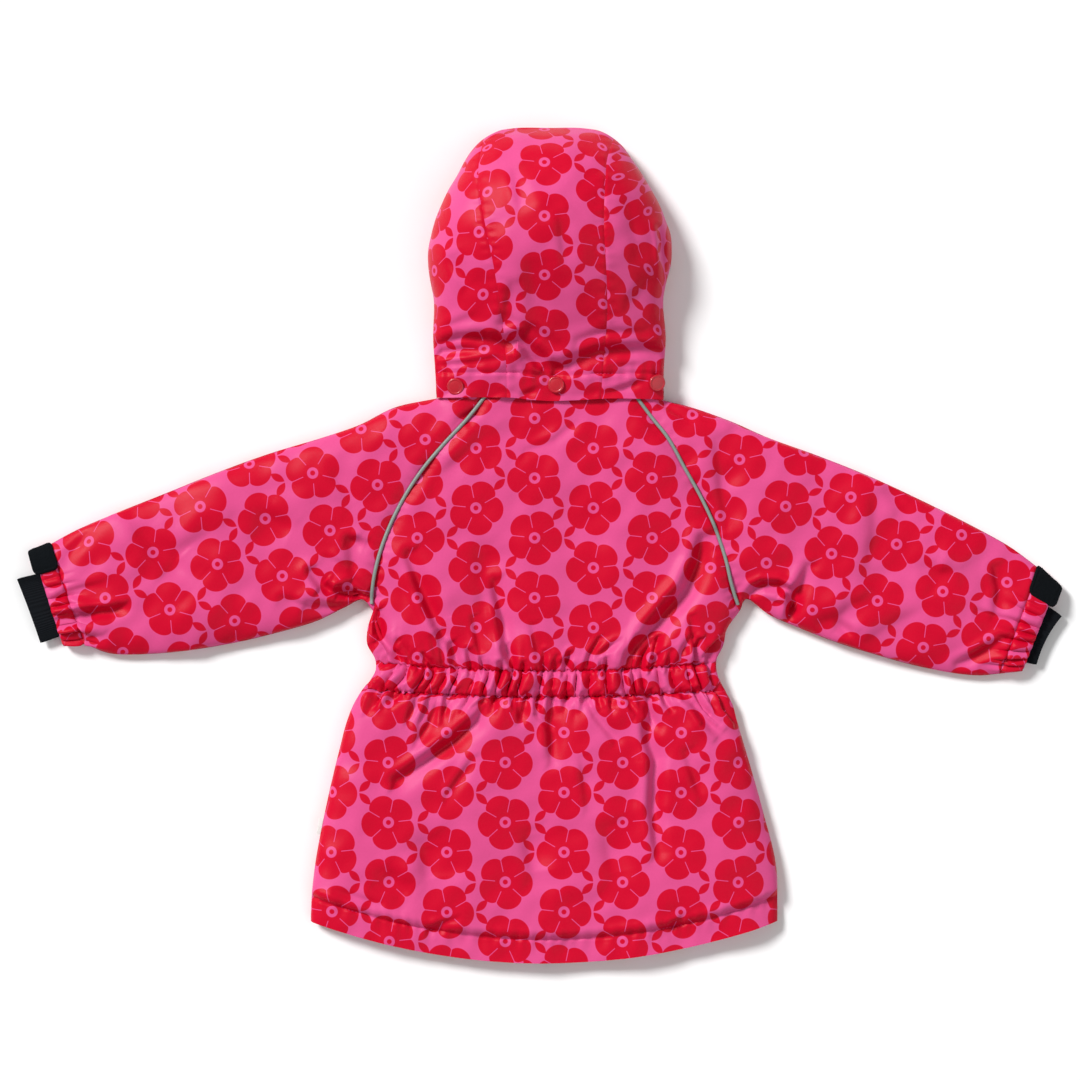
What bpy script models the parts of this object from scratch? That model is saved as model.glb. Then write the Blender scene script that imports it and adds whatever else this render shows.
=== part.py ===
"""A child's padded winter jacket with a hood, laid face down and flat with its sleeves spread.

The tables are in millimetres and the model is in metres. +Z is up, +Y runs from the hem to the hood,
and +X is to the right of someone who looks down on the back. The front panels lie on the surface at
z = 0, the back lies on them, and the hood stands over the collar as a shallow dome.
"""
import math

import bmesh
import bpy
import numpy as np
from mathutils import Matrix, Vector

MM = 0.001
SEAM_GAP = 0.3          # clear distance between two pieces at a seam
OVERLAY_GAP = 0.5       # clear distance under a piece that lies on a panel
PLAN_SHIFT = (-0.86, -0.56)  # moves the tables' zero to the middle of the jacket

# How far in from a fold at the outline the back reaches its full height, and the front the floor.
BACK_ROLL = 36.0
FRONT_ROLL = 13.0
BACK_WALL = 7.5         # padded wall at the outline, measured sideways
FRONT_WALL = 7.0
LEAST_WALL = 1.6

# ---------------------------------------------------------------- outline of the body, seen from above
# y, x of the left side, x of the right side
TORSO_SIDES = np.array([
    (-400.0, -207.0, 217.0),
    (-346.0, -210.5, 220.0),
    (-325.7, -209.8, 219.9),
    (-298.1, -207.0, 219.0),
    (-242.9, -196.9, 206.1),
    (-187.7, -184.0, 190.4),
    (-160.1, -176.6, 182.2),
    (-146.3, -171.1, 178.5),
    (-132.5, -162.8, 171.1),
    (-118.7, -151.8, 164.7),
    (-104.9, -150.9, 163.8),
    (-91.1, -158.2, 170.2),
    (-77.3, -158.2, 173.0),
    (-60.0, -153.0, 185.0),
])
# the raglan seams, from the armpit to the neck: x and y on the left, x and y on the right
RAGLAN = np.array([
    (-153.0, -60.0, 185.0, -60.0),
    (-153.6, -46.9, 180.4, -46.9),
    (-152.7, -35.0, 177.0, -35.0),
    (-148.1, -12.0, 172.0, -13.0),
    (-138.9, 14.7, 163.3, 13.5),
    (-126.0, 41.4, 149.5, 44.0),
    (-108.6, 72.7, 134.5, 71.0),
    (-84.6, 102.1, 117.5, 101.0),
    (-66.2, 116.8, 103.0, 118.7),
    (-52.4, 134.3, 89.2, 137.1),
    (-47.5, 141.0, 86.0, 141.0),
])
# stations along a sleeve from the neck and armpit to the cuff seam: the top edge, then the bottom edge
SLEEVE_LEFT = np.array([
    (-93.8, 136.2, -153.0, -60.0),
    (-132.5, 127.9, -163.0, -49.5),
    (-166.0, 111.5, -180.0, -57.0),
    (-201.5, 99.4, -206.0, -69.5),
    (-247.5, 85.6, -240.0, -79.5),
    (-293.5, 69.0, -277.0, -88.5),
    (-339.5, 50.6, -318.0, -95.5),
    (-385.5, 32.2, -358.0, -99.5),
    (-425.0, 15.5, -394.0, -99.3),
    (-451.3, 1.4, -418.9, -90.5),
])
SLEEVE_RIGHT = np.array([
    (115.0, 134.3, 185.0, -60.0),
    (143.5, 127.0, 192.3, -49.0),
    (178.0, 114.5, 212.5, -63.5),
    (212.5, 99.4, 240.0, -75.5),
    (258.5, 82.8, 272.0, -88.0),
    (304.5, 64.4, 305.0, -98.5),
    (350.5, 43.2, 342.0, -109.0),
    (396.5, 20.2, 378.0, -116.5),
    (433.3, 0.0, 404.0, -119.3),
    (460.9, -20.2, 424.6, -117.8),
])
# the outer edge of each gathered cuff casing: its top corner, then its bottom corner
CUFF_END_LEFT = np.array([-466.5, -4.5, -438.5, -92.5])
CUFF_END_RIGHT = np.array([477.0, -35.0, 446.0, -115.5])

# the inner cuffs' outer edges: top corner and bottom corner
INNER_CUFF_LEFT = ((-481.8, -30.1), (-459.8, -89.8))
INNER_CUFF_RIGHT = ((482.7, -64.4), (459.0, -109.8))
INNER_CUFF_SHARES = (0.24, 0.86)    # where they sit across the casing
INNER_CUFF_Z = (5.6, 10.4)
INNER_CUFF_WALL = 1.5

HEM_CENTRE = -384.4
HEM_RISE = 38.5         # how much higher the hem is at the side seams
WAIST_LOW_CENTRE = -139.0
WAIST_LOW_RISE = 7.0
WAIST_HIGH_CENTRE = -115.0
WAIST_HIGH_RISE = 8.0
NECK_SEAM_Y = 141.0
# the neckline of the fronts, and the collar's lower edge on the front: x, y
NECKLINE = np.array([
    (-93.8, 136.2), (-84.6, 129.7), (-75.4, 123.3), (-66.2, 116.8), (-30.0, 107.0), (3.0, 104.4),
    (17.0, 104.4), (60.0, 107.5), (103.0, 118.7), (107.0, 123.9), (111.0, 129.1), (115.0, 134.3),
])

# the collar's lower edge on the back: x, y
BACK_NECK = np.array([(-93.8, 136.2), (-47.5, 141.0), (86.0, 141.0), (115.0, 134.3)])

# ---------------------------------------------------------------- heights of the layers
# x, y, top of the front panel, side seam, underside of the back, top of the back
LEVELS = np.array([
    (15, 125, 9.0, 10.5, 12.0, 20.5),
    (-60, 60, 9.0, 10.5, 12.5, 24.0),
    (90, 60, 9.0, 10.5, 12.5, 24.5),
    (10, 10, 9.0, 10.5, 12.5, 22.5),
    (-130, -30, 9.0, 10.5, 12.5, 23.0),
    (150, -35, 9.0, 10.5, 12.5, 23.5),
    (-80, -75, 9.0, 10.5, 12.5, 24.5),
    (90, -75, 9.0, 10.5, 12.5, 25.0),
    (10, -80, 9.0, 10.5, 12.5, 23.5),
    (-100, -180, 9.0, 10.5, 12.5, 24.0),
    (110, -180, 9.0, 10.5, 12.5, 25.0),
    (10, -210, 9.0, 10.5, 12.5, 22.5),
    (-120, -280, 9.0, 10.5, 12.5, 24.5),
    (130, -280, 9.0, 10.5, 12.5, 25.5),
    (5, -310, 9.0, 10.5, 12.5, 22.0),
    (-170, 40, 8.5, 10.0, 12.0, 22.5),
    (190, 35, 8.5, 10.0, 12.0, 23.0),
    (-260, 0, 8.0, 9.5, 11.5, 21.5),
    (280, -10, 8.0, 9.5, 11.5, 22.0),
    (-350, -30, 7.5, 9.0, 11.0, 20.5),
    (365, -45, 7.5, 9.0, 11.0, 21.0),
    (-410, -45, 6.2, 8.3, 10.3, 19.0),
    (415, -65, 6.2, 8.3, 10.3, 19.0),
    (-455, -45, 4.6, 8.0, 11.4, 16.8),
    (460, -75, 4.6, 8.0, 11.4, 16.8),
])
HEM_BAND = 22.0         # height of the stitched hem, which holds no padding
HEM_THINNING = 0.74     # share of each level that is left in the hem

# Creases of the back and sleeves: depth, half width, then the points along it.
CREASES = [
    (7.0, 9.0, [(152, 6), (141, -33), (121, -56), (89, -98)]),
    (3.5, 8.0, [(-116, -18), (-96, -58), (-74, -105)]),
    (3.5, 7.0, [(-40, -34), (-32, -72), (-27, -106)]),
    (4.0, 7.0, [(-148, -66), (-137, -86), (-124, -106)]),
    (2.0, 12.0, [(-92, 60), (-50, 96)]),
    (4.5, 8.0, [(-36, -146), (-88, -190), (-130, -238)]),
    (3.0, 8.0, [(17, -150), (19, -195)]),
    (3.8, 9.0, [(97, -148), (106, -205), (103, -241), (109, -280)]),
    (3.0, 8.0, [(139, -136), (164, -172)]),
    (2.0, 18.0, [(4, -288), (40, -290)]),
    (2.0, 10.0, [(-140, -300), (-98, -308)]),
    (4.5, 6.0, [(-168, -52), (-190, -54), (-212, -60)]),
    (2.5, 8.0, [(-173, 6), (-168, -34)]),
    (2.0, 11.0, [(-252, 24), (-228, 14)]),
    (4.0, 7.0, [(-388, -58), (-421, -64)]),
    (4.5, 6.5, [(188, -52), (206, -52), (226, -60)]),
    (4.0, 8.0, [(242, -26), (224, -70)]),
    (2.2, 12.0, [(366, -22), (388, -32)]),
    (3.0, 7.0, [(393, -98), (422, -84)]),
    (2.0, 13.0, [(300, 16), (330, -4)]),
    (2.0, 13.0, [(-330, -6), (-300, 10)]),
]
RAGLAN_VALLEY = (2.6, 9.0)      # depth and half width of the dip along a seam
WAIST_VALLEY = (4.0, 11.0)

# ---------------------------------------------------------------- gathers
WAIST_GATHERS = 26
WAIST_GATHER_DEPTH = 2.2
CUFF_GATHERS = 13
CUFF_GATHER_DEPTH = 1.7

# ---------------------------------------------------------------- hood
# y, x of the left side, x of the right side
HOOD_SIDES = np.array([
    (130.0, -94.0, 115.0),
    (161.9, -95.7, 115.0),
    (189.5, -97.5, 116.8),
    (230.9, -97.5, 115.0),
    (244.7, -100.3, 117.8),
    (258.5, -102.1, 121.4),
    (272.3, -102.1, 122.4),
    (286.1, -99.4, 121.4),
    (299.9, -95.7, 116.8),
    (313.7, -90.2, 111.3),
    (327.5, -83.7, 104.0),
    (341.3, -75.4, 95.7),
    (355.1, -68.1, 86.5),
    (368.9, -58.0, 76.4),
    (375.4, -50.6, 69.0),
])
# the brow, from the left seam of the centre strip to the right one: x, y
HOOD_BROW = np.array([
    (-50.6, 375.4), (-44.2, 379.0), (-36.8, 382.7), (-26.0, 384.6), (10.0, 385.2),
    (44.0, 384.6), (55.2, 382.7), (63.5, 379.0), (69.0, 375.4),
])
# the seams on both sides of the centre strip: y, x on the left, x on the right
HOOD_SEAMS = np.array([
    (136.0, -29.4, 57.0),
    (150.9, -29.6, 58.0),
    (180.8, -31.0, 60.3),
    (210.7, -34.0, 62.3),
    (250.7, -40.5, 61.3),
    (290.7, -48.5, 59.2),
    (330.3, -55.2, 60.3),
    (355.0, -54.5, 62.6),
    (375.4, -50.6, 69.0),
])
# y, height of the dome over the centre, exponent of its cross-section
HOOD_HEIGHTS = np.array([
    (136.0, 24.0, 3.4),
    (158.0, 31.0, 3.2),
    (185.0, 43.0, 2.8),
    (220.0, 59.0, 2.4),
    (270.0, 76.0, 2.1),
    (310.0, 76.0, 2.1),
    (345.0, 63.0, 2.1),
    (366.0, 47.0, 2.1),
    (378.0, 31.0, 2.1),
    (385.2, 14.0, 2.1),
])
HOOD_CREASES = [
    (6.0, 7.5, [(-96, 179), (-62, 189), (-28, 188), (2, 174)]),
    (5.0, 8.0, [(30, 170), (64, 181), (112, 177)]),
    (3.0, 16.0, [(-4, 262), (-3, 212)]),
    (2.0, 10.0, [(84, 312), (92, 270)]),
]
HOOD_WALL = 3.2
HOOD_EDGE_Z = 14.0      # height of the seam between the hood's sides and its face hem
HOOD_LOWER_EDGE = np.array([
    (-94.0, 138.9), (-28.0, 138.0), (9.0, 133.2), (33.0, 134.0), (65.0, 135.6), (115.0, 135.2),
])
FACE_HEM_START_Y = 142.5
FACE_HEM_WALL = 2.8
FACE_HEM_WIDTHS = (48.0, 22.0)  # how far it reaches under the hood at the chin, and at the brow

# ---------------------------------------------------------------- collar and zip
COLLAR_HEIGHT = 46.0
COLLAR_WALL = 2.6
COLLAR_BOTTOM = 4.4
COLLAR_TOP = 13.4
COLLAR_SIDES = (-86.0, 107.0)
ZIP_X = 10.0
ZIP_OPENING = 6.5       # half the gap between the fronts' edges
ZIP_RECESS = 6.0        # the fronts' edges are raised this far off the surface
ZIP_LENGTH = (-377.0, 145.0)
TAPE = (6.2, 0.4, 0.8)  # outer and inner distance from the zip's middle, and thickness
TAPE_Z = 7.7
TEETH = (2.4, 2.2)      # half width and height
TEETH_Z = 5.2
SLIDER_Y = 136.0
SLIDER_LENGTH = 13.0
PULL_AXIS_Z = 3.0
PULL_LENGTH = 22.0

PIPING_RADIUS = 2.2
SNAP_RADIUS = 7.8
SNAP_CENTRES = [("snap_left", -76.8, 146.8), ("snap_centre", 15.6, 148.3), ("snap_right", 108.3, 150.0)]

COLOURS = {
    "pink": (0.76, 0.085, 0.30),
    "red": (0.68, 0.005, 0.03),
    "grey": (0.22, 0.25, 0.24),
    "black": (0.012, 0.012, 0.014),
    "white": (0.80, 0.79, 0.76),
    "steel": (0.55, 0.55, 0.56),
}


# ================================================================ curves and distances
def smooth(keys, values, at):
    """A smooth curve through values at rising keys, read at the places in at."""
    slopes = np.gradient(values, keys)
    index = np.clip(np.searchsorted(keys, at) - 1, 0, len(keys) - 2)
    width = keys[index + 1] - keys[index]
    t = np.clip((at - keys[index]) / width, 0.0, 1.0)
    return ((2 * t**3 - 3 * t**2 + 1) * values[index] + (t**3 - 2 * t**2 + t) * width * slopes[index]
            + (3 * t**2 - 2 * t**3) * values[index + 1] + (t**3 - t**2) * width * slopes[index + 1])


def along(points, fractions):
    """Points at the given fractions of a smooth path through a table of x and y."""
    steps = np.linalg.norm(np.diff(points, axis=0), axis=1)
    reach = np.concatenate(([0.0], np.cumsum(steps))) / steps.sum()
    fractions = np.asarray(fractions, dtype=float)
    return np.stack([smooth(reach, points[:, 0], fractions), smooth(reach, points[:, 1], fractions)], axis=-1)


def ease(value):
    """Rises from 0 to 1 with level ends."""
    value = np.clip(value, 0.0, 1.0)
    return value * value * (3 - 2 * value)


def quarter(value):
    """The height of a quarter circle's arc at a share of its width: 0 at the edge, 1 at the top."""
    value = np.clip(value, 0.0, 1.0)
    return np.sqrt(np.maximum(0.0, 1 - (1 - value) ** 2))


def nearest_on(path, x, y):
    """Distance to a path, the direction away from it, its left-hand normal there, and the share of its length."""
    best = np.full(x.shape, 1e9)
    away = np.zeros(x.shape + (2,))
    normal = np.zeros(x.shape + (2,))
    share = np.zeros(x.shape)
    steps = np.diff(path, axis=0)
    lengths = np.linalg.norm(steps, axis=1)
    starts = np.concatenate(([0.0], np.cumsum(lengths)))
    for point, step, length, start in zip(path[:-1], steps, lengths, starts):
        t = np.clip(((x - point[0]) * step[0] + (y - point[1]) * step[1]) / length**2, 0.0, 1.0)
        gap_x = x - point[0] - t * step[0]
        gap_y = y - point[1] - t * step[1]
        gap = np.hypot(gap_x, gap_y)
        closer = gap < best
        best = np.where(closer, gap, best)
        away[closer] = np.stack([gap_x, gap_y], axis=-1)[closer]
        normal[closer] = (-step[1] / length, step[0] / length)
        share = np.where(closer, (start + t * length) / starts[-1], share)
    return best, away, normal, share


def side_at(y, column):
    """x of the torso's side at y: column 1 is the left side and column 2 the right."""
    return smooth(TORSO_SIDES[:, 0], TORSO_SIDES[:, column], y)


def raglan_path(left):
    return RAGLAN[:, 0:2] if left else RAGLAN[:, 2:4]


def sleeve_edges(left, count=46):
    """The top and bottom edges of a sleeve, from the neck and armpit to past the cuff."""
    table = SLEEVE_LEFT if left else SLEEVE_RIGHT
    end = CUFF_END_LEFT if left else CUFF_END_RIGHT
    stations = np.linspace(0, len(table) - 1, count)
    keys = np.arange(len(table), dtype=float)
    edges = []
    for first in (0, 2):
        line = np.stack([smooth(keys, table[:, first + k], stations) for k in (0, 1)], axis=-1)
        tip = end[first:first + 2]
        beyond = tip + (tip - line[-1]) * 3
        edges.append(np.concatenate((line, [tip, beyond])))
    return edges


def outline_paths():
    """The folded edges of the body, counter-clockwise, so that the cloth is always on their left."""
    heights = np.linspace(-400.0, -60.0, 60)
    right_side = np.stack([side_at(heights, 2), heights], axis=-1)
    left_side = np.stack([side_at(heights, 1), heights], axis=-1)
    left_top, left_bottom = sleeve_edges(True)
    right_top, right_bottom = sleeve_edges(False)
    return [
        np.concatenate((right_side, right_bottom[1:])),
        np.concatenate((right_top[::-1], [(112.0, 145.0), (112.0, 240.0)])),
        np.concatenate(([(-91.0, 240.0), (-91.0, 145.0)], left_top)),
        np.concatenate((left_bottom[::-1], left_side[::-1][1:])),
    ]


OUTLINE = outline_paths()
EDGE_TOLERANCE = 0.5


def edge_distance(x, y):
    """How far each point lies inside the outline, and the unit direction to the inside there."""
    best = np.full(x.shape, 1e9)
    inward = np.zeros(x.shape + (2,))
    for path in OUTLINE:
        gap, away, normal, _ = nearest_on(path, x, y)
        direction = np.where((gap < 2.0)[..., None], normal, away / np.maximum(gap, 1e-6)[..., None])
        closer = gap < best
        best = np.where(closer, gap, best)
        inward[closer] = direction[closer]
    return np.maximum(0.0, best - EDGE_TOLERANCE), inward


def crease_depth(creases, x, y):
    depth = np.zeros(x.shape)
    for deep, half_width, points in creases:
        gap, _, _, share = nearest_on(np.array(points, dtype=float), x, y)
        taper = np.sqrt(np.clip(np.sin(math.pi * (0.08 + 0.84 * share)), 0.0, 1.0))
        depth += deep * taper * np.exp(-(gap / half_width) ** 2)
    return depth


# ================================================================ height of each layer of cloth
def levels_at(x, y):
    """Top of the front, side seam, underside and top of the back, blended from the table."""
    weights = np.stack([1.0 / (np.hypot(x - row[0], y - row[1]) ** 2 + 300.0) ** 1.5 for row in LEVELS])
    weights = weights / weights.sum(axis=0)
    levels = [(weights * LEVELS[:, 2 + k].reshape((-1,) + (1,) * x.ndim)).sum(axis=0) for k in range(4)]
    hem_y = HEM_CENTRE + HEM_RISE * ((x - 5.0) / 213.0) ** 2
    thinning = 1 - (1 - HEM_THINNING) * ease((hem_y + HEM_BAND + 9.0 - y) / 14.0)
    return [level * thinning for level in levels]


def waist_line(centre, rise, x):
    return centre + rise * ((x - 7.0) / 160.0) ** 2


def seam_dips(x, y):
    dip = np.zeros(x.shape)
    depth, half_width = RAGLAN_VALLEY
    for left in (True, False):
        gap = nearest_on(raglan_path(left), x, y)[0]
        dip += depth * np.exp(-(gap / half_width) ** 2)
    depth, half_width = WAIST_VALLEY
    torso = (x > -175) & (x < 190)
    over = np.maximum(0.0, y - waist_line(WAIST_HIGH_CENTRE, WAIST_HIGH_RISE, x))
    under = np.maximum(0.0, waist_line(WAIST_LOW_CENTRE, WAIST_LOW_RISE, x) - y)
    dip += np.where(torso & (y < -70), depth * np.exp(-((over + under) / half_width) ** 2), 0.0)
    return dip


def along_rows(x, y):
    """Unit direction along each row of a grid, towards the row's middle from both of its ends."""
    step_x, step_y = np.gradient(x, axis=-1), np.gradient(y, axis=-1)
    length = np.hypot(step_x, step_y)
    sign = np.where(np.arange(x.shape[-1]) < x.shape[-1] / 2, 1.0, -1.0)
    return step_x / length * sign, step_y / length * sign


def wall_share(x, y, neck_points):
    """How much of the sideways wall is left: none at the neck's corners, little at armpits and shoulders."""
    share = np.ones(x.shape)
    for corner in neck_points:
        share *= ease(np.hypot(x - corner[0], y - corner[1]) / 25.0)
    for corner in (RAGLAN[0, 0:2], RAGLAN[0, 2:4], SLEEVE_LEFT[0, 0:2], SLEEVE_RIGHT[0, 0:2]):
        share *= 0.3 + 0.7 * ease(np.hypot(x - corner[0], y - corner[1]) / 24.0)
    return share


def back_height(x, y):
    """Height of the back's outer face, and how far it has turned from upright (0) to level (1)."""
    _, seam, _, top = levels_at(x, y)
    rise = quarter(edge_distance(x, y)[0] / BACK_ROLL)
    lowered = (crease_depth(CREASES, x, y) + seam_dips(x, y)) * ease(rise * 1.4)
    return seam + (top - seam) * rise - lowered, rise


def back_faces(x, y):
    """Outer and inner points of the back and of the sleeves' upper side, over rows of x and y."""
    low_top, seam, under, _ = levels_at(x, y)
    outer_z, rise = back_height(x, y)
    inner_z = np.minimum(seam + (under - seam) * rise, outer_z - LEAST_WALL * ease(rise * 3))
    wall = BACK_WALL * np.sqrt(np.maximum(0.0, 1 - rise**2)) * (low_top / LEVELS[0, 2]) ** 1.3
    wall *= wall_share(x, y, (RAGLAN[-1, 0:2], RAGLAN[-1, 2:4]))
    toward_x, toward_y = along_rows(x, y)
    outer = np.stack([x, y, outer_z], axis=-1)
    return outer, np.stack([x + toward_x * wall, y + toward_y * wall, inner_z], axis=-1)


def front_faces(x, y):
    """Outer and inner points of the fronts and of the sleeves' lower side, over rows of x and y."""
    low_top, seam, _, _ = levels_at(x, y)
    rise = quarter(edge_distance(x, y)[0] / FRONT_ROLL)
    wall = FRONT_WALL * np.sqrt(np.maximum(0.0, 1 - rise**2)) * (low_top / LEVELS[0, 2]) ** 1.3
    wall *= wall_share(x, y, (RAGLAN[-3, 0:2], RAGLAN[-3, 2:4]))
    toward_x, toward_y = along_rows(x, y)
    outer = np.stack([x, y, seam * (1 - rise)], axis=-1)
    inner_z = low_top + (seam - low_top) * (1 - rise)
    return outer, np.stack([x + toward_x * wall, y + toward_y * wall, inner_z], axis=-1)


def keep_to_seam(outer, inner, armpit, column):
    """Move a panel's inner edge along its raglan seam, so that it stays on its own side of it."""
    line = outer[armpit:, column, :2]
    edge = inner[armpit:, column, :2]
    tangent = np.gradient(line, axis=0)
    tangent /= np.linalg.norm(tangent, axis=1)[:, None]
    moved = line + tangent * np.linalg.norm(edge - line, axis=1)[:, None]
    moved[0] = (moved[0] + edge[0]) / 2
    inner[armpit:, column, :2] = moved


def lifted(points, amount):
    """Points on the back's outer face, moved out from it."""
    x, y = points[..., 0], points[..., 1]
    inward = edge_distance(x, y)[1]
    height, rise = back_height(x, y)
    flat = np.sqrt(np.maximum(0.0, 1 - rise**2))
    return np.stack([x - inward[..., 0] * flat * amount, y - inward[..., 1] * flat * amount,
                     height + rise * amount], axis=-1)


# ================================================================ building
def clear_scene():
    for item in list(bpy.data.objects):
        bpy.data.objects.remove(item, do_unlink=True)
    for old in list(bpy.data.collections):
        bpy.data.collections.remove(old)


def finish(item, colour, roughness, metallic=0.0, crease=50.0):
    """Give a piece its material and smooth shading, and put it in the jacket's collection."""
    shade = bpy.data.materials.new(item.name)
    shade.use_nodes = True
    surface = shade.node_tree.nodes["Principled BSDF"]
    surface.inputs["Base Color"].default_value = (*COLOURS[colour], 1.0)
    surface.inputs["Roughness"].default_value = roughness
    surface.inputs["Metallic"].default_value = metallic
    item.data.materials.clear()
    item.data.materials.append(shade)
    if item.type == "MESH":
        item.data.shade_smooth()
        item.data.set_sharp_from_angle(angle=math.radians(crease))
    JACKET.objects.link(item)
    return item


def to_model(point):
    return Vector(((point[0] + PLAN_SHIFT[0]) * MM, (point[1] + PLAN_SHIFT[1]) * MM, point[2] * MM))


def cloth(name, outer, inner, colour="pink", roughness=0.62, ring=False):
    """A closed wall of cloth between two equal grids of points. A ring joins its last column to its first."""
    rows, columns = outer.shape[0] - 1, outer.shape[1] - 1
    shell = bmesh.new()
    bmesh.ops.create_grid(shell, x_segments=columns, y_segments=rows, size=1.0)
    if ring:
        last = {round(v.co.y, 4): v for v in shell.verts if v.co.x > 0.9999}
        first = {round(v.co.y, 4): v for v in shell.verts if v.co.x < -0.9999}
        bmesh.ops.weld_verts(shell, targetmap={last[key]: first[key] for key in last})
    made = bmesh.ops.extrude_face_region(shell, geom=shell.faces[:])
    inside = {vert for vert in made["geom"] if isinstance(vert, bmesh.types.BMVert)}
    for vert in shell.verts:
        column = round((vert.co.x + 1) / 2 * columns)
        row = round((vert.co.y + 1) / 2 * rows)
        vert.co = to_model((inner if vert in inside else outer)[row, column])
    bmesh.ops.recalc_face_normals(shell, faces=shell.faces[:])
    if shell.calc_volume(signed=True) < 0:
        bmesh.ops.reverse_faces(shell, faces=shell.faces[:])
    mesh = bpy.data.meshes.new(name)
    shell.to_mesh(mesh)
    shell.free()
    return finish(bpy.data.objects.new(name, mesh), colour, roughness)


def lerp(first, second, share):
    return first + (second - first) * share


def level_seam(outer, inner, columns, lift):
    """Move the given edge columns of a panel up or down by half the gap of a side seam."""
    for column in columns:
        outer[:, column, 2] += lift
        inner[:, column, 2] += lift


# ================================================================ raglan stations, shared by their pieces
NECK_SHARE_BACK = 0.17      # share of a sleeve's width that its neck edge takes on the back
NECK_SHARE_FRONT = 0.15


def sleeve_columns(neck_share, neck_steps, seam_steps):
    """Shares of a sleeve's width from its top edge to its bottom edge, closer together near the folds."""
    turn = math.acos(1 - 2 * neck_share)
    angles = np.concatenate((np.linspace(0, turn, neck_steps + 1)[:-1], np.linspace(turn, math.pi, seam_steps + 1)))
    return (1 - np.cos(angles)) / 2


BACK_COLUMNS = sleeve_columns(NECK_SHARE_BACK, 3, 11)
FRONT_COLUMNS = sleeve_columns(NECK_SHARE_FRONT, 2, 7)


def raglan_points(left, columns, neck_share, skipped=0):
    """Points down a raglan seam at a sleeve's columns, from the neck to the armpit."""
    fractions = np.clip((columns[columns >= neck_share - 1e-6] - neck_share) / (1 - neck_share), 0.0, 1.0)
    return along(raglan_path(left)[::-1][skipped:], fractions)


BACK_SEAM = {left: raglan_points(left, BACK_COLUMNS, NECK_SHARE_BACK) for left in (True, False)}
FRONT_SEAM = {left: raglan_points(left, FRONT_COLUMNS, NECK_SHARE_FRONT, skipped=2) for left in (True, False)}


# ================================================================ back
def back_columns(count):
    """Shares of the back's width, closer together near its sides."""
    even = np.linspace(0, 1, count + 1)
    return 0.45 * (1 - np.cos(even * math.pi)) / 2 + 0.55 * even


def panel_grid(left_edge, right_edge, columns):
    """Rows of points between two edges at the given shares of their width."""
    return left_edge[:, None, :] * (1 - columns[None, :, None]) + right_edge[:, None, :] * columns[None, :, None]


def bow(grid, columns, row_shares, low_rise, high_rise):
    """Lower the middle of the rows, by one amount at the bottom row and another at the top one."""
    middle = 1 - (2 * columns[None, :] - 1) ** 2
    grid[:, :, 1] -= lerp(low_rise, high_rise, row_shares)[:, None] * middle
    return grid


def side_edge(heights, column):
    return np.stack([side_at(heights, column), heights], axis=-1)


def back_bodice():
    """The upper back, from the waist casing to the neck and between the raglan seams."""
    low = WAIST_HIGH_CENTRE + WAIST_HIGH_RISE + SEAM_GAP / 2
    below = np.array([low, -95.0, -80.0, -69.0])
    edges = []
    for left in (True, False):
        seam = BACK_SEAM[left][::-1].copy()
        seam[:, 0] += 0.22 if left else -0.22
        seam[-1, 1] = NECK_SEAM_Y
        edges.append(np.concatenate((side_edge(below, 1 if left else 2), seam)))
    columns = back_columns(24)
    shares = (edges[0][:, 1] - low) / (NECK_SEAM_Y - low)
    grid = bow(panel_grid(edges[0], edges[1], columns), columns, shares, WAIST_HIGH_RISE, 0.0)
    outer, inner = back_faces(grid[..., 0], grid[..., 1])
    for column in (0, -1):
        keep_to_seam(outer, inner, len(below), column)
    level_seam(outer[:len(below) + 1], inner[:len(below) + 1], (0, -1), SEAM_GAP / 2)
    return cloth("back_bodice", outer, inner)


def waist_casing():
    """The gathered elastic casing across the back waist."""
    columns = WAIST_GATHERS * 4
    heights = np.linspace(WAIST_LOW_CENTRE + WAIST_LOW_RISE + SEAM_GAP / 2,
                          WAIST_HIGH_CENTRE + WAIST_HIGH_RISE - SEAM_GAP / 2, 3)
    shares = np.linspace(0, 1, columns + 1)
    grid = panel_grid(side_edge(heights, 1), side_edge(heights, 2), shares)
    grid = bow(grid, shares, np.linspace(0, 1, 3), WAIST_LOW_RISE, WAIST_HIGH_RISE)
    outer, inner = back_faces(grid[..., 0], grid[..., 1])
    uneven = 0.06 * np.sin(2 * math.pi * 5.3 * shares) + 0.04 * np.sin(2 * math.pi * 11.7 * shares + 1.0)
    wave = np.cos(2 * math.pi * (WAIST_GATHERS * shares + uneven))
    swell = 0.72 + 0.28 * np.sin(2 * math.pi * 3.1 * shares + 0.6)
    lift = np.array([0.6, 1.2, 0.6])[:, None]
    distance, _ = edge_distance(outer[..., 0], outer[..., 1])
    near_side = ease(distance / 12.0)
    outer[..., 2] += near_side * lift * WAIST_GATHER_DEPTH * (wave * swell)[None, :]
    inner[..., 2] = np.minimum(inner[..., 2], outer[..., 2] - LEAST_WALL * near_side)
    level_seam(outer, inner, (0, -1), SEAM_GAP / 2)
    return cloth("waist_casing", outer, inner)


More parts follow.
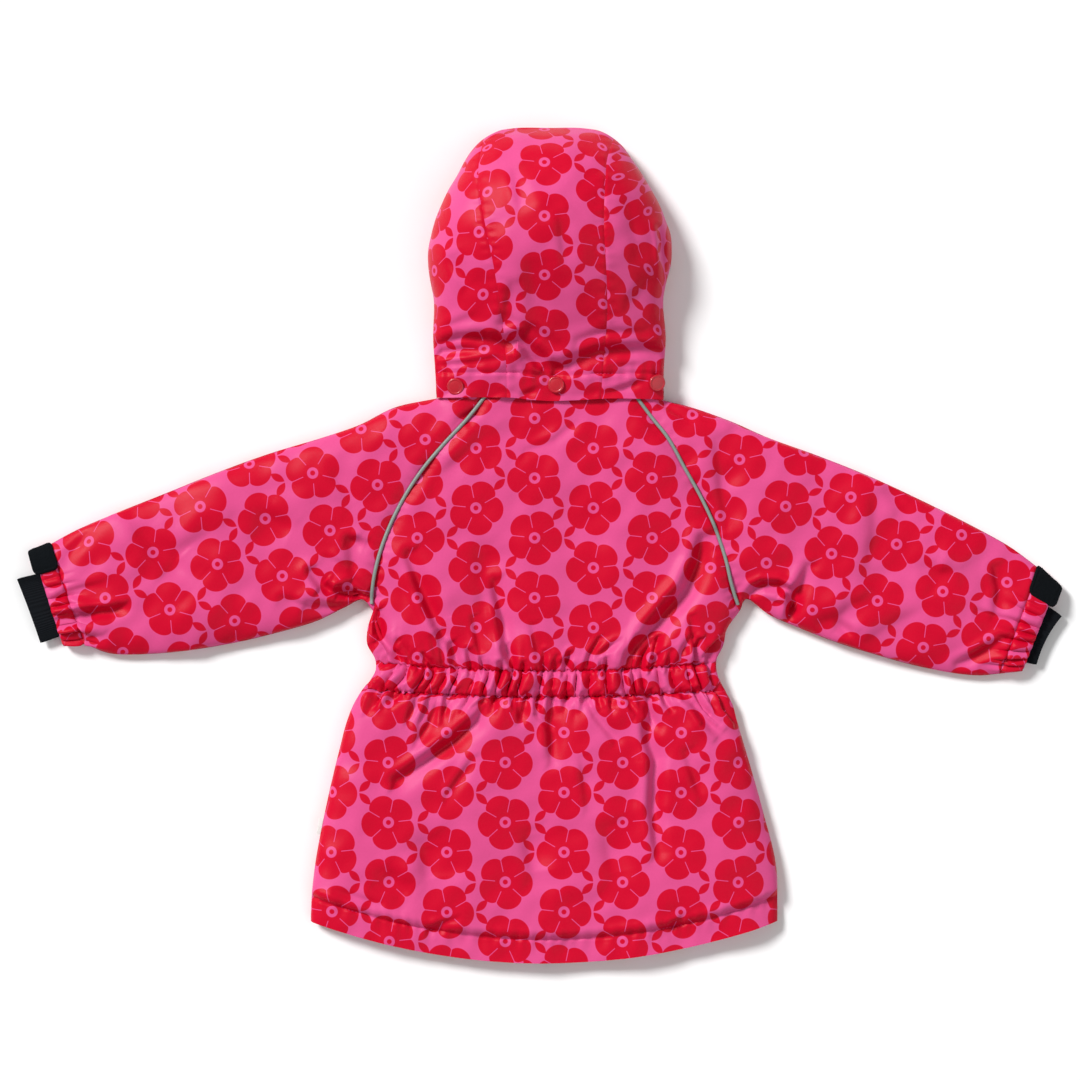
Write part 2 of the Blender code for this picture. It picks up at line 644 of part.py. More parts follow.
def back_skirt():
    """The lower back, from the waist casing to the hem."""
    low = HEM_CENTRE + HEM_RISE
    high = WAIST_LOW_CENTRE + WAIST_LOW_RISE - SEAM_GAP / 2
    drop = np.array([0.0, 0.035, 0.075, 0.098, 0.12, 0.17, 0.24, 0.32, 0.40, 0.48, 0.56, 0.64, 0.72, 0.80, 0.87,
                     0.92, 0.96, 1.0])
    heights = lerp(low, high, drop)
    columns = back_columns(24)
    grid = bow(panel_grid(side_edge(heights, 1), side_edge(heights, 2), columns), columns, drop, HEM_RISE,
               WAIST_LOW_RISE)
    outer, inner = back_faces(grid[..., 0], grid[..., 1])
    outer[3, 1:-1, 2] -= 1.0
    level_seam(outer, inner, (0, -1), SEAM_GAP / 2)
    return cloth("back_skirt", outer, inner)


# ================================================================ fronts
def front(left):
    """One front, from the side and raglan seams to the zip, flat on the surface."""
    low = HEM_CENTRE + HEM_RISE + 1.5
    below = lerp(low, -60.0, np.array([0.0, 0.06, 0.12, 0.2, 0.32, 0.44, 0.56, 0.68, 0.74, 0.80, 0.86, 0.92, 0.965]))
    seam = FRONT_SEAM[left][::-1].copy()
    seam[:, 0] += 0.22 if left else -0.22
    side = np.concatenate((side_edge(below, 1 if left else 2), seam))
    neck_y = side[-1, 1] - 0.3
    side[-1, 1] = neck_y
    shares = (side[:, 1] - low) / (neck_y - low)
    zip_edge = ZIP_X - ZIP_OPENING if left else ZIP_X + ZIP_OPENING
    hem_y, collar_y = HEM_CENTRE + 1.8, NECKLINE[3, 1] - 0.3
    centre = np.stack([np.full(shares.shape, zip_edge), lerp(hem_y, collar_y, shares)], axis=-1)
    across = np.array([0.0, 0.02, 0.05, 0.09, 0.2, 0.36, 0.52, 0.68, 0.80, 0.89, 0.95, 1.0])
    grid = panel_grid(side, centre, across)
    hem = lerp(low, hem_y, across) - (low - hem_y) * (across - across**2)
    neck = smooth(NECKLINE[:, 0], NECKLINE[:, 1], grid[-1, :, 0]) - SEAM_GAP
    straight = panel_grid(side, centre, across)[..., 1]
    grid[..., 1] += lerp((hem - straight[0])[None, :], (neck - straight[-1])[None, :], shares[:, None])
    outer, inner = front_faces(grid[..., 0], grid[..., 1])
    keep_to_seam(outer, inner, len(below), 0)
    inner[..., :2] = np.where((grid[..., 0:1] - ZIP_X) * (1 if left else -1) > -60, grid, inner[..., :2])
    raised = 1 - ease((np.abs(grid[..., 0] - ZIP_X) - ZIP_OPENING) / 16.0)
    outer[..., 2] = np.maximum(outer[..., 2], raised * (inner[..., 2] - 2.8).clip(0, ZIP_RECESS))
    level_seam(outer[:len(below) + 1], inner[:len(below) + 1], (0,), -SEAM_GAP / 2)
    return cloth("front_left" if left else "front_right", outer, inner)


# ================================================================ sleeves
def sleeve_rings(left, stations, columns, seam, neck_share):
    """x and y of one side of a sleeve: ring 0 follows the neck edge and the raglan seam."""
    table = SLEEVE_LEFT if left else SLEEVE_RIGHT
    keys = np.arange(len(table), dtype=float)
    top = np.stack([smooth(keys, table[:, k], stations) for k in (0, 1)], axis=-1)
    bottom = np.stack([smooth(keys, table[:, k], stations) for k in (2, 3)], axis=-1)
    straight = top[:, None, :] * (1 - columns[None, :, None]) + bottom[:, None, :] * columns[None, :, None]
    neck = columns[columns < neck_share - 1e-6] / neck_share
    ring = np.concatenate((lerp(top[0], seam[0], neck[:, None]), seam))
    ring[:, 0] += -0.22 if left else 0.22
    ring[0] = top[0]
    fade = np.clip(1 - stations / 2.8, 0.0, 1.0)[:, None] ** 1.4
    at_neck = ease((neck_share - columns) / neck_share)[None, :] * np.clip(stations, 0.0, 1.0)[:, None]
    return straight + (fade * (1 - at_neck))[..., None] * (ring - straight[0])[None, :, :]


def close_tube(upper, lower):
    """Join the upper and lower sides of a flattened tube, with each fold's inner points halfway between them."""
    outer = np.concatenate((upper[0], lower[0][:, 1:]), axis=1)
    inner = np.concatenate((upper[1], lower[1][:, 1:]), axis=1)
    inner[:, 0] = inner[:, -1] = (upper[1][:, 0] + lower[1][:, -1]) / 2
    fold = upper[0].shape[1] - 1
    inner[:, fold] = (upper[1][:, -1] + lower[1][:, 0]) / 2
    return outer, inner


def sleeve(left):
    """A raglan sleeve as one flattened tube: its upper side, then its lower side."""
    stations = np.array([0.0, 0.18, 0.45, 0.8, 1.2, 1.7, 2.2, 2.8, 3.4, 4.1, 4.8, 5.5, 6.2, 6.9, 7.5, 8.1, 8.6, 9.0])
    upper = sleeve_rings(left, stations, BACK_COLUMNS, BACK_SEAM[left], NECK_SHARE_BACK)
    lower = sleeve_rings(left, stations, FRONT_COLUMNS, FRONT_SEAM[left], NECK_SHARE_FRONT)[:, ::-1]
    lower[:, 0] = upper[:, -1]
    outer, inner = close_tube(back_faces(upper[..., 0], upper[..., 1]), front_faces(lower[..., 0], lower[..., 1]))
    return cloth("sleeve_left" if left else "sleeve_right", outer, inner, ring=True)


def cuff_point_rows(left, shares, columns, upper):
    """x and y on a cuff casing: share 0 is its seam and share 1 its outer edge."""
    table = SLEEVE_LEFT if left else SLEEVE_RIGHT
    end = CUFF_END_LEFT if left else CUFF_END_RIGHT
    seam_top, seam_bottom = table[-1, 0:2], table[-1, 2:4]
    tops = lerp(seam_top, end[0:2], shares[:, None])
    bottoms = lerp(seam_bottom, end[2:4], shares[:, None])
    if not upper:
        columns = columns[::-1]
    return tops[:, None, :] * (1 - columns[None, :, None]) + bottoms[:, None, :] * columns[None, :, None]


def cuff_casing(left):
    """The gathered end of a sleeve, over its inner cuff."""
    shares = np.array([0.02, 0.34, 0.68, 1.0])
    columns = (1 - np.cos(np.linspace(0, math.pi, CUFF_GATHERS + 1))) / 2
    columns = 0.5 * columns + 0.5 * np.linspace(0, 1, CUFF_GATHERS + 1)
    columns = np.sort(np.concatenate((columns, (columns[1:] + columns[:-1]) / 2)))
    upper = cuff_point_rows(left, shares, columns, True)
    lower = cuff_point_rows(left, shares, columns, False)
    up_outer, up_inner = back_faces(upper[..., 0], upper[..., 1])
    wave = np.where(np.arange(len(columns)) % 2 == 1, 1.0, -1.0)
    strength = ease((columns - 0.28) / 0.2) * ease((1 - columns) / 0.06)
    swell = np.array([0.3, 1.0, 1.0, 0.8])[:, None]
    up_outer[..., 2] += swell * (CUFF_GATHER_DEPTH * wave * strength)[None, :] - 0.6
    up_inner[..., 2] = np.minimum(up_inner[..., 2], up_outer[..., 2] - 1.2)
    up_outer[:, 0, 2] += 0.6
    up_outer[:, -1, 2] += 0.6
    outer, inner = close_tube((up_outer, up_inner), front_faces(lower[..., 0], lower[..., 1]))
    return cloth("cuff_casing_left" if left else "cuff_casing_right", outer, inner, ring=True)


def flat_tube(name, seam_top, seam_bottom, end_top, end_bottom, low_z, high_z, wall, colour, roughness):
    """A flattened tube between two lines, such as an inner cuff."""
    turn = np.linspace(0, 2 * math.pi, 21)
    shares = np.linspace(0, 1, 3)
    middle_z, half_z = (low_z + high_z) / 2, (high_z - low_z) / 2
    faces = []
    for inset in (0.0, wall):
        rows = []
        for share in shares:
            top, bottom = lerp(seam_top, end_top, share), lerp(seam_bottom, end_bottom, share)
            length = np.linalg.norm(bottom - top)
            axis = (bottom - top) / length
            across = (length / 2 - inset) * np.sign(np.cos(turn)) * np.abs(np.cos(turn)) ** 0.75
            height = (half_z - inset) * np.sign(np.sin(turn)) * np.abs(np.sin(turn)) ** 0.6
            plan = (top + bottom) / 2 + across[:, None] * axis
            rows.append(np.concatenate((plan, (middle_z + height)[:, None]), axis=1))
        faces.append(np.array(rows))
    return cloth(name, faces[0], faces[1], colour, roughness, ring=True)


def inner_cuff(left):
    """The knitted storm cuff that shows past the sleeve's end."""
    seam_top, seam_bottom = cuff_point_rows(left, np.array([0.25]), np.array(INNER_CUFF_SHARES), True)[0]
    end_top, end_bottom = INNER_CUFF_LEFT if left else INNER_CUFF_RIGHT
    name = "inner_cuff_left" if left else "inner_cuff_right"
    return flat_tube(name, seam_top, seam_bottom, np.array(end_top), np.array(end_bottom), *INNER_CUFF_Z,
                     INNER_CUFF_WALL, "black", 0.85)


def cuff_tab(left):
    """The hook-and-loop tab over the top of a cuff, made from the casing's points moved out."""
    shares = np.linspace(-0.12, 1.3, 5)
    columns = np.array([0.0, 0.015, 0.05, 0.11, 0.18, 0.25])
    rows = cuff_point_rows(left, shares, columns, True)
    below = lifted(rows, OVERLAY_GAP + 0.2)
    above = lifted(rows, OVERLAY_GAP + 2.0)
    return cloth("cuff_tab_left" if left else "cuff_tab_right", above, below, "black", 0.9)


def piping(left):
    """Reflective piping that lies along a raglan seam."""
    points = lifted(BACK_SEAM[left][1:-2], PIPING_RADIUS * 1.08 + OVERLAY_GAP)
    name = "piping_left" if left else "piping_right"
    route = bpy.data.curves.new(name, "CURVE")
    route.dimensions = "3D"
    route.bevel_depth = PIPING_RADIUS * MM
    route.bevel_resolution = 1
    route.use_fill_caps = True
    line = route.splines.new("POLY")
    line.points.add(len(points) - 1)
    for spot, point in zip(line.points, points):
        spot.co = (*to_model(point), 1.0)
    return finish(bpy.data.objects.new(name, route), "grey", 0.35)


# ================================================================ hood
def hood_frame(y):
    """Middle, half width, height and exponent of the hood's cross-section at y."""
    left = smooth(HOOD_SIDES[:, 0], HOOD_SIDES[:, 1], y)
    right = smooth(HOOD_SIDES[:, 0], HOOD_SIDES[:, 2], y)
    shrink = np.clip((y - 375.4) / 9.8, 0.0, 1.0)
    half = (right - left) / 2 * (1 - 0.36 * shrink**2)
    height = smooth(HOOD_HEIGHTS[:, 0], HOOD_HEIGHTS[:, 1], y)
    power = smooth(HOOD_HEIGHTS[:, 0], HOOD_HEIGHTS[:, 2], y)
    return (left + right) / 2, half, height, power


def cover_height(x, y):
    """The highest thing under the hood: the top of the body near the neck, or the collar."""
    body = back_height(x, np.minimum(y, NECK_SEAM_Y))[0]
    collar = np.where(y > NECK_SEAM_Y - 4, COLLAR_TOP, 0.0)
    inside = (x > COLLAR_SIDES[0] - 1) & (x < COLLAR_SIDES[1] + 1)
    return np.maximum(np.where(y < NECK_SEAM_Y + 4, body, 0.0), np.where(inside, collar, 0.0))


def hood_height(x, y):
    """Height of the hood's outer face."""
    middle, half, height, power = hood_frame(y)
    side = np.clip((x - middle) / half, -1.0, 1.0)
    arch = (1 - np.abs(side) ** power) ** (1 / power)
    lowered = crease_depth(HOOD_CREASES, x, y) * ease(arch * 1.6)
    dome = HOOD_EDGE_Z + (height - HOOD_EDGE_Z) * arch - lowered
    floor = cover_height(x, y) + OVERLAY_GAP + 0.4 + HOOD_WALL
    return np.where(y < 200, np.maximum(dome, floor), dome)


def hood_faces(x, y):
    """Outer and inner points of the hood's dome over x and y: the wall is measured square to its face."""
    step = 1.0
    height = hood_height(x, y)
    slope_x = (hood_height(x + step, y) - hood_height(x - step, y)) / (2 * step)
    slope_y = (hood_height(x, y + step) - hood_height(x, y - step)) / (2 * step)
    outward = np.stack([-slope_x, -slope_y, np.ones(x.shape)], axis=-1)
    outward /= np.linalg.norm(outward, axis=-1)[..., None]
    outer = np.stack([x, y, height], axis=-1)
    inner = outer - outward * HOOD_WALL
    floor = cover_height(inner[..., 0], inner[..., 1]) + OVERLAY_GAP + 0.3
    inner[..., 2] = np.where(y < 200, np.maximum(inner[..., 2], floor), inner[..., 2])
    return outer, inner


def level_edge(outer, inner, outward):
    """Give a hood panel's outline edge the height of its seam, with its wall measured sideways."""
    outer[..., 2] = HOOD_EDGE_Z
    inner[...] = outer - np.concatenate((outward, np.zeros(outward.shape[:-1] + (1,))), axis=-1) * HOOD_WALL


def outline_normals(points, sign):
    tangent = np.gradient(points, axis=0)
    tangent /= np.linalg.norm(tangent, axis=1)[:, None]
    return np.stack([-tangent[:, 1], tangent[:, 0]], axis=-1) * sign


def coons(left, right, low, high):
    """A grid of points inside four edges that share their corners."""
    rows, columns = len(left), len(low)
    v = np.linspace(0, 1, rows)[:, None, None]
    u = np.linspace(0, 1, columns)[None, :, None]
    across = left[:, None, :] * (1 - u) + right[:, None, :] * u
    upward = low[None, :, :] * (1 - v) + high[None, :, :] * v
    corners = (low[0] * (1 - u) * (1 - v) + low[-1] * u * (1 - v) + high[0] * (1 - u) * v + high[-1] * u * v)
    return across + upward - corners


HOOD_ROWS = 17
HOOD_TIP_Y = 362.0      # where the side panels' outline turns into their short top edge


def hood_row_shares():
    t = np.linspace(0, 1, HOOD_ROWS + 1)
    return 0.35 * t + 0.65 * np.sin(t * math.pi / 2) ** 1.15


def lower_edge(x_values):
    return np.stack([x_values, smooth(HOOD_LOWER_EDGE[:, 0], HOOD_LOWER_EDGE[:, 1], x_values)], axis=-1)


def hood_seam(column, offset):
    """x and y up one seam of the centre strip."""
    start = smooth(HOOD_LOWER_EDGE[:, 0], HOOD_LOWER_EDGE[:, 1], np.array([HOOD_SEAMS[0, column]]))[0]
    heights = lerp(start, 375.4, hood_row_shares())
    return np.stack([smooth(HOOD_SEAMS[:, 0], HOOD_SEAMS[:, column], heights) + offset, heights], axis=-1)


def hood_centre():
    left, right = hood_seam(1, SEAM_GAP / 2), hood_seam(2, -SEAM_GAP / 2)
    columns = 10
    brow = along(HOOD_BROW, np.linspace(0, 1, columns + 1))
    brow[0], brow[-1] = left[-1], right[-1]
    grid = coons(left, right, lower_edge(np.linspace(left[0, 0], right[0, 0], columns + 1)), brow)
    outer, inner = hood_faces(grid[..., 0], grid[..., 1])
    level_edge(outer[-1], inner[-1], outline_normals(grid[-1], 1.0))
    for column in (0, -1):
        inner[-1, column] = outer[-1, column] - (0.0, HOOD_WALL, 0.0)
    return cloth("hood_centre", outer, inner)


def hood_side(left):
    """A side panel of the hood, from the outline to the seam of the centre strip."""
    column, offset = (1, -SEAM_GAP / 2) if left else (2, SEAM_GAP / 2)
    seam = hood_seam(column, offset)
    start_x = HOOD_SIDES[0, column]
    start_y = lower_edge(np.array([start_x]))[0, 1]
    heights = lerp(start_y, HOOD_TIP_Y, hood_row_shares())
    outline = np.stack([smooth(HOOD_SIDES[:, 0], HOOD_SIDES[:, column], heights), heights], axis=-1)
    columns = 1 - np.sin(np.linspace(1, 0, 10) * math.pi / 2)
    grid = panel_grid(outline, seam, columns)
    low_y = lower_edge(grid[0, :, 0])[:, 1] - grid[0, :, 1]
    grid[..., 1] += low_y[None, :] * (1 - ease(hood_row_shares() * 4))[:, None]
    outer, inner = hood_faces(grid[..., 0], grid[..., 1])
    sign = 1.0 if left else -1.0
    level_edge(outer[1:, 0], inner[1:, 0], outline_normals(outline, sign)[1:])
    level_edge(outer[-1], inner[-1], outline_normals(grid[-1], sign))
    inner[-1, -1] = outer[-1, -1] - (0.0, HOOD_WALL, 0.0)
    return cloth("hood_side_left" if left else "hood_side_right", outer, inner)


def hood_outline():
    """The hood's outline from its left corner over the brow to its right corner."""
    heights = np.linspace(FACE_HEM_START_Y, 375.4, 14)
    left = np.stack([smooth(HOOD_SIDES[:, 0], HOOD_SIDES[:, 1], heights), heights], axis=-1)
    right = np.stack([smooth(HOOD_SIDES[:, 0], HOOD_SIDES[:, 2], heights), heights], axis=-1)
    return np.concatenate((left, HOOD_BROW[1:-1], right[::-1]))


def hood_face_hem():
    """The hood's front edge, which curls under it and lies on the surface round the face opening."""
    steps = 28
    path = along(hood_outline(), np.linspace(0, 1, steps + 1))
    tangent = np.gradient(path, axis=0)
    tangent /= np.linalg.norm(tangent, axis=1)[:, None]
    inward = np.stack([tangent[:, 1], -tangent[:, 0]], axis=-1)
    share = np.abs(np.linspace(-1, 1, steps + 1))
    width = lerp(FACE_HEM_WIDTHS[1], FACE_HEM_WIDTHS[0], ease((share - 0.35) / 0.5))
    roll = 15.0
    top_z = HOOD_EDGE_Z - SEAM_GAP
    outer, inner = [], []
    for turn in np.linspace(0, math.pi / 2, 5):
        outer.append((roll * (1 - math.cos(turn)), top_z * (1 - math.sin(turn))))
        inner.append((FACE_HEM_WALL + (roll - FACE_HEM_WALL) * (1 - math.cos(turn)),
                      FACE_HEM_WALL + (top_z - FACE_HEM_WALL) * (1 - math.sin(turn))))
    faces = []
    for section in (outer, inner):
        rows = []
        for reach, z in section + [(None, section[-1][1])]:
            distance = width if reach is None else np.full(width.shape, reach)
            plan = path + inward * distance[:, None]
            rows.append(np.concatenate((plan, np.full((steps + 1, 1), z)), axis=1))
        faces.append(np.array(rows))
    return cloth("hood_face_hem", faces[0], faces[1])


def collar():
    """The standing collar, folded flat inside the hood and open at the zip."""
    half_z = (COLLAR_TOP - COLLAR_BOTTOM) / 2
    left_x, right_x = COLLAR_SIDES
    faces = []
    for inset in (0.0, COLLAR_WALL):
        radius = half_z - inset
        middle_z = COLLAR_BOTTOM + half_z
        section = [(x, middle_z - radius) for x in np.linspace(ZIP_X - ZIP_OPENING, left_x + half_z, 6)]
        turns = np.linspace(0, math.pi, 7)[1:-1]
        section += [(left_x + half_z - radius * math.sin(t), middle_z - radius * math.cos(t)) for t in turns]
        section += [(x, middle_z + radius) for x in np.linspace(left_x + half_z, right_x - half_z, 10)]
        section += [(right_x - half_z + radius * math.sin(t), middle_z + radius * math.cos(t)) for t in turns]
        section += [(x, middle_z - radius) for x in np.linspace(right_x - half_z, ZIP_X + ZIP_OPENING, 6)]
        section = np.array(section)
        if inset == 0.0:
            front_y = smooth(NECKLINE[:, 0], NECKLINE[:, 1], section[:, 0])
            back_y = np.interp(section[:, 0], BACK_NECK[:, 0], BACK_NECK[:, 1])
            on_front = section[:, 1] < COLLAR_BOTTOM + 0.1
            base_y = np.where(on_front, front_y, back_y) + 3 * SEAM_GAP
        rows = []
        for share in np.linspace(0, 1, 4):
            y = base_y + COLLAR_HEIGHT * share
            rows.append(np.stack([section[:, 0], y, section[:, 1]], axis=-1))
        faces.append(np.array(rows))
    return cloth("collar", faces[0], faces[1])


# ================================================================ fastenings
def lathe(name, profile, place, normal, colour, roughness, metallic=0.0):
    """Turn a profile of radius and height about the given normal."""
    shell = bmesh.new()
    verts = [shell.verts.new((radius * MM, 0.0, z * MM)) for radius, z in profile]
    edges = [shell.edges.new(pair) for pair in zip(verts, verts[1:])]
    bmesh.ops.spin(shell, geom=verts + edges, axis=(0, 0, 1), cent=(0, 0, 0), steps=16, angle=2 * math.pi,
                   use_merge=True)
    bmesh.ops.remove_doubles(shell, verts=shell.verts[:], dist=1e-6)
    bmesh.ops.recalc_face_normals(shell, faces=shell.faces[:])
    mesh = bpy.data.meshes.new(name)
    shell.to_mesh(mesh)
    shell.free()
    item = bpy.data.objects.new(name, mesh)
    turn = Vector((0, 0, 1)).rotation_difference(Vector(normal)).to_matrix().to_4x4()
    item.matrix_world = Matrix.Translation(to_model(place)) @ turn
    return finish(item, colour, roughness, metallic, crease=35.0)


def snap(name, x, y):
    """A press stud's cap on the hood's lower band, square to the cloth."""
    step = 4.0
    spots = np.array([(x, y), (x - step, y), (x + step, y), (x, y - step), (x, y + step)])
    heights = hood_height(spots[:, 0], spots[:, 1])
    normal = Vector((-(heights[2] - heights[1]) / (2 * step), -(heights[4] - heights[3]) / (2 * step), 1.0))
    normal.normalize()
    turns = np.linspace(0, 2 * math.pi, 25)
    rim = np.stack([x + SNAP_RADIUS * np.cos(turns), y + SNAP_RADIUS * np.sin(turns)], axis=-1)
    rim_heights = hood_height(rim[:, 0], rim[:, 1]) - heights[0]
    proud = max(0.0, max(Vector((px - x, py - y, h)).dot(normal) for (px, py), h in zip(rim, rim_heights)))
    seat = Vector((x, y, heights[0])) + normal * (OVERLAY_GAP + 0.25 + proud)
    profile = [(0.0, 0.0), (SNAP_RADIUS - 0.5, 0.0), (SNAP_RADIUS, 0.5), (SNAP_RADIUS, 1.3), (SNAP_RADIUS - 0.8, 2.1),
               (SNAP_RADIUS - 2.0, 2.2), (SNAP_RADIUS - 2.6, 1.7), (0.0, 1.7)]
    return lathe(name, profile, seat, normal, "red", 0.3)


def block(name, low, high, colour, roughness, metallic=0.0, bevel=0.0):
    """A box between two corners in millimetres, with an optional bevel."""
    shell = bmesh.new()
    bmesh.ops.create_cube(shell, size=1.0)
    for vert in shell.verts:
        vert.co = to_model([high[k] if vert.co[k] > 0 else low[k] for k in range(3)])
    mesh = bpy.data.meshes.new(name)
    shell.to_mesh(mesh)
    shell.free()
    item = bpy.data.objects.new(name, mesh)
    if bevel:
        edge = item.modifiers.new("rounding", "BEVEL")
        edge.width = bevel * MM
        edge.segments = 2
        edge.limit_method = "ANGLE"
    return finish(item, colour, roughness, metallic)


def zip_pieces():
    """Tapes, teeth, slider and pull tab in the recess between the two fronts."""
    low_y, high_y = ZIP_LENGTH
    outer, inner, thick = TAPE
    block("zip_tape_left", (ZIP_X - outer, low_y, TAPE_Z), (ZIP_X - inner, high_y, TAPE_Z + thick), "red", 0.8)
    block("zip_tape_right", (ZIP_X + inner, low_y, TAPE_Z), (ZIP_X + outer, high_y, TAPE_Z + thick), "red", 0.8)
    half, tall = TEETH
    block("zip_teeth", (ZIP_X - half, low_y + 2, TEETH_Z), (ZIP_X + half, high_y - 2, TEETH_Z + tall), "red", 0.35)

    near, far = SLIDER_Y - SLIDER_LENGTH / 2, SLIDER_Y + SLIDER_LENGTH / 2
    slider = block("zip_slider", (ZIP_X - 4.3, near, 3.9), (ZIP_X + 4.3, far, 4.9), "steel", 0.3, 0.9)
    joined = [
        block("slider_rail_left", (ZIP_X - 4.3, near, 4.5), (ZIP_X - 3.0, far, 7.2), "steel", 0.3),
        block("slider_rail_right", (ZIP_X + 3.0, near, 4.5), (ZIP_X + 4.3, far, 7.2), "steel", 0.3),
        block("slider_post_low", (ZIP_X - 0.8, SLIDER_Y - 3.4, 1.2), (ZIP_X + 0.8, SLIDER_Y - 2.2, 4.2), "steel", 0.3),
        block("slider_post_high", (ZIP_X - 0.8, SLIDER_Y + 2.2, 1.2), (ZIP_X + 0.8, SLIDER_Y + 3.4, 4.2), "steel", 0.3),
        block("slider_bar", (ZIP_X - 0.8, SLIDER_Y - 3.0, 1.2), (ZIP_X + 0.8, SLIDER_Y + 3.0, 2.1), "steel", 0.3),
    ]
    for piece in joined:
        JACKET.objects.unlink(piece)
        CUTTERS.objects.link(piece)
        piece.hide_render = True
        piece.display_type = "WIRE"
        weld = slider.modifiers.new(piece.name, "BOOLEAN")
        weld.operation = "UNION"
        weld.object = piece
    pull_tab()


def pull_tab():
    """The slider's pull: a flat tab with a slot, whose end bar turns inside the slider's bridge."""
    half = 3.4
    outline = [(-2.6, 0.6), (2.6, 0.6), (half, -0.4), (half, -PULL_LENGTH + 2), (half - 1.6, -PULL_LENGTH),
               (1.6 - half, -PULL_LENGTH), (-half, -PULL_LENGTH + 2), (-half, -0.4)]
    slot = [(-1.4, -0.6), (-1.4, -5.6), (1.4, -5.6), (1.4, -0.6)]
    shape = bpy.data.curves.new("zip_pull", "CURVE")
    shape.dimensions = "2D"
    shape.fill_mode = "BOTH"
    shape.extrude = 0.5 * MM
    for points in (outline, slot):
        line = shape.splines.new("POLY")
        line.points.add(len(points) - 1)
        line.use_cyclic_u = True
        for spot, (x, y) in zip(line.points, points):
            spot.co = (x * MM, y * MM, 0.0, 1.0)
    tab = finish(bpy.data.objects.new("zip_pull", shape), "steel", 0.3, 0.9)
    tab.location = to_model((ZIP_X, SLIDER_Y, PULL_AXIS_Z))
    return tab


def side_label():
    """A small blank label caught in the left side seam."""
    y = -258.5
    edge = float(side_at(np.array([y]), 1)[0])
    lean = math.atan2(side_at(np.array([y + 7.0]), 1)[0] - side_at(np.array([y - 7.0]), 1)[0], 14.0)
    shell = bmesh.new()
    bmesh.ops.create_cube(shell, size=1.0)
    bmesh.ops.scale(shell, vec=Vector((3.2, 15.0, 0.9)) * MM, verts=shell.verts[:])
    mesh = bpy.data.meshes.new("side_label")
    shell.to_mesh(mesh)
    shell.free()
    label = bpy.data.objects.new("side_label", mesh)
    label.location = to_model((edge - 2.1, y, 10.4))
    label.rotation_euler = (0.0, 0.0, -lean)
    return finish(label, "white", 0.8)


clear_scene()
JACKET = bpy.data.collections.new("winter_jacket")
CUTTERS = bpy.data.collections.new("cutters")
bpy.context.scene.collection.children.link(JACKET)
bpy.context.scene.collection.children.link(CUTTERS)

back_bodice()
waist_casing()
back_skirt()
for is_left in (True, False):
    front(is_left)
    sleeve(is_left)
    cuff_casing(is_left)
    inner_cuff(is_left)
    cuff_tab(is_left)
    piping(is_left)
    hood_side(is_left)
hood_centre()
hood_face_hem()
collar()
for snap_name, snap_x, snap_y in SNAP_CENTRES:
    snap(snap_name, snap_x, snap_y)
zip_pieces()
side_label()
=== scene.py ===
import math

import bmesh
import bpy
import numpy as np
from mathutils import Matrix, Vector


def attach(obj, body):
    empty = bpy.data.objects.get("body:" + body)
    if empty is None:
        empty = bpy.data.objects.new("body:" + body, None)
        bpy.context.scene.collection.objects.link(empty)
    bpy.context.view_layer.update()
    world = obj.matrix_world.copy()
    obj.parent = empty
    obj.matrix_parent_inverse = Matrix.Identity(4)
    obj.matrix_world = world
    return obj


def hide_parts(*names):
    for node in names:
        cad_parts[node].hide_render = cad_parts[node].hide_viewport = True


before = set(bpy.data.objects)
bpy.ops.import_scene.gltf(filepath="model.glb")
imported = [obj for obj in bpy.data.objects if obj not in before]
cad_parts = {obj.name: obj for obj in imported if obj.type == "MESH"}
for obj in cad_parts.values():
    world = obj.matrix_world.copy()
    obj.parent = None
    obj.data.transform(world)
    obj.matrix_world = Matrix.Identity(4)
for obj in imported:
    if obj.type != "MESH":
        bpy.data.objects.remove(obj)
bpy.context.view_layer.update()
print("frame loaded with", len(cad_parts), "pieces")

# A child's padded winter jacket, face down on a table. Tables are in mm, meshes in metres.
metre = 0.001
planShift = (-0.86, -0.56)

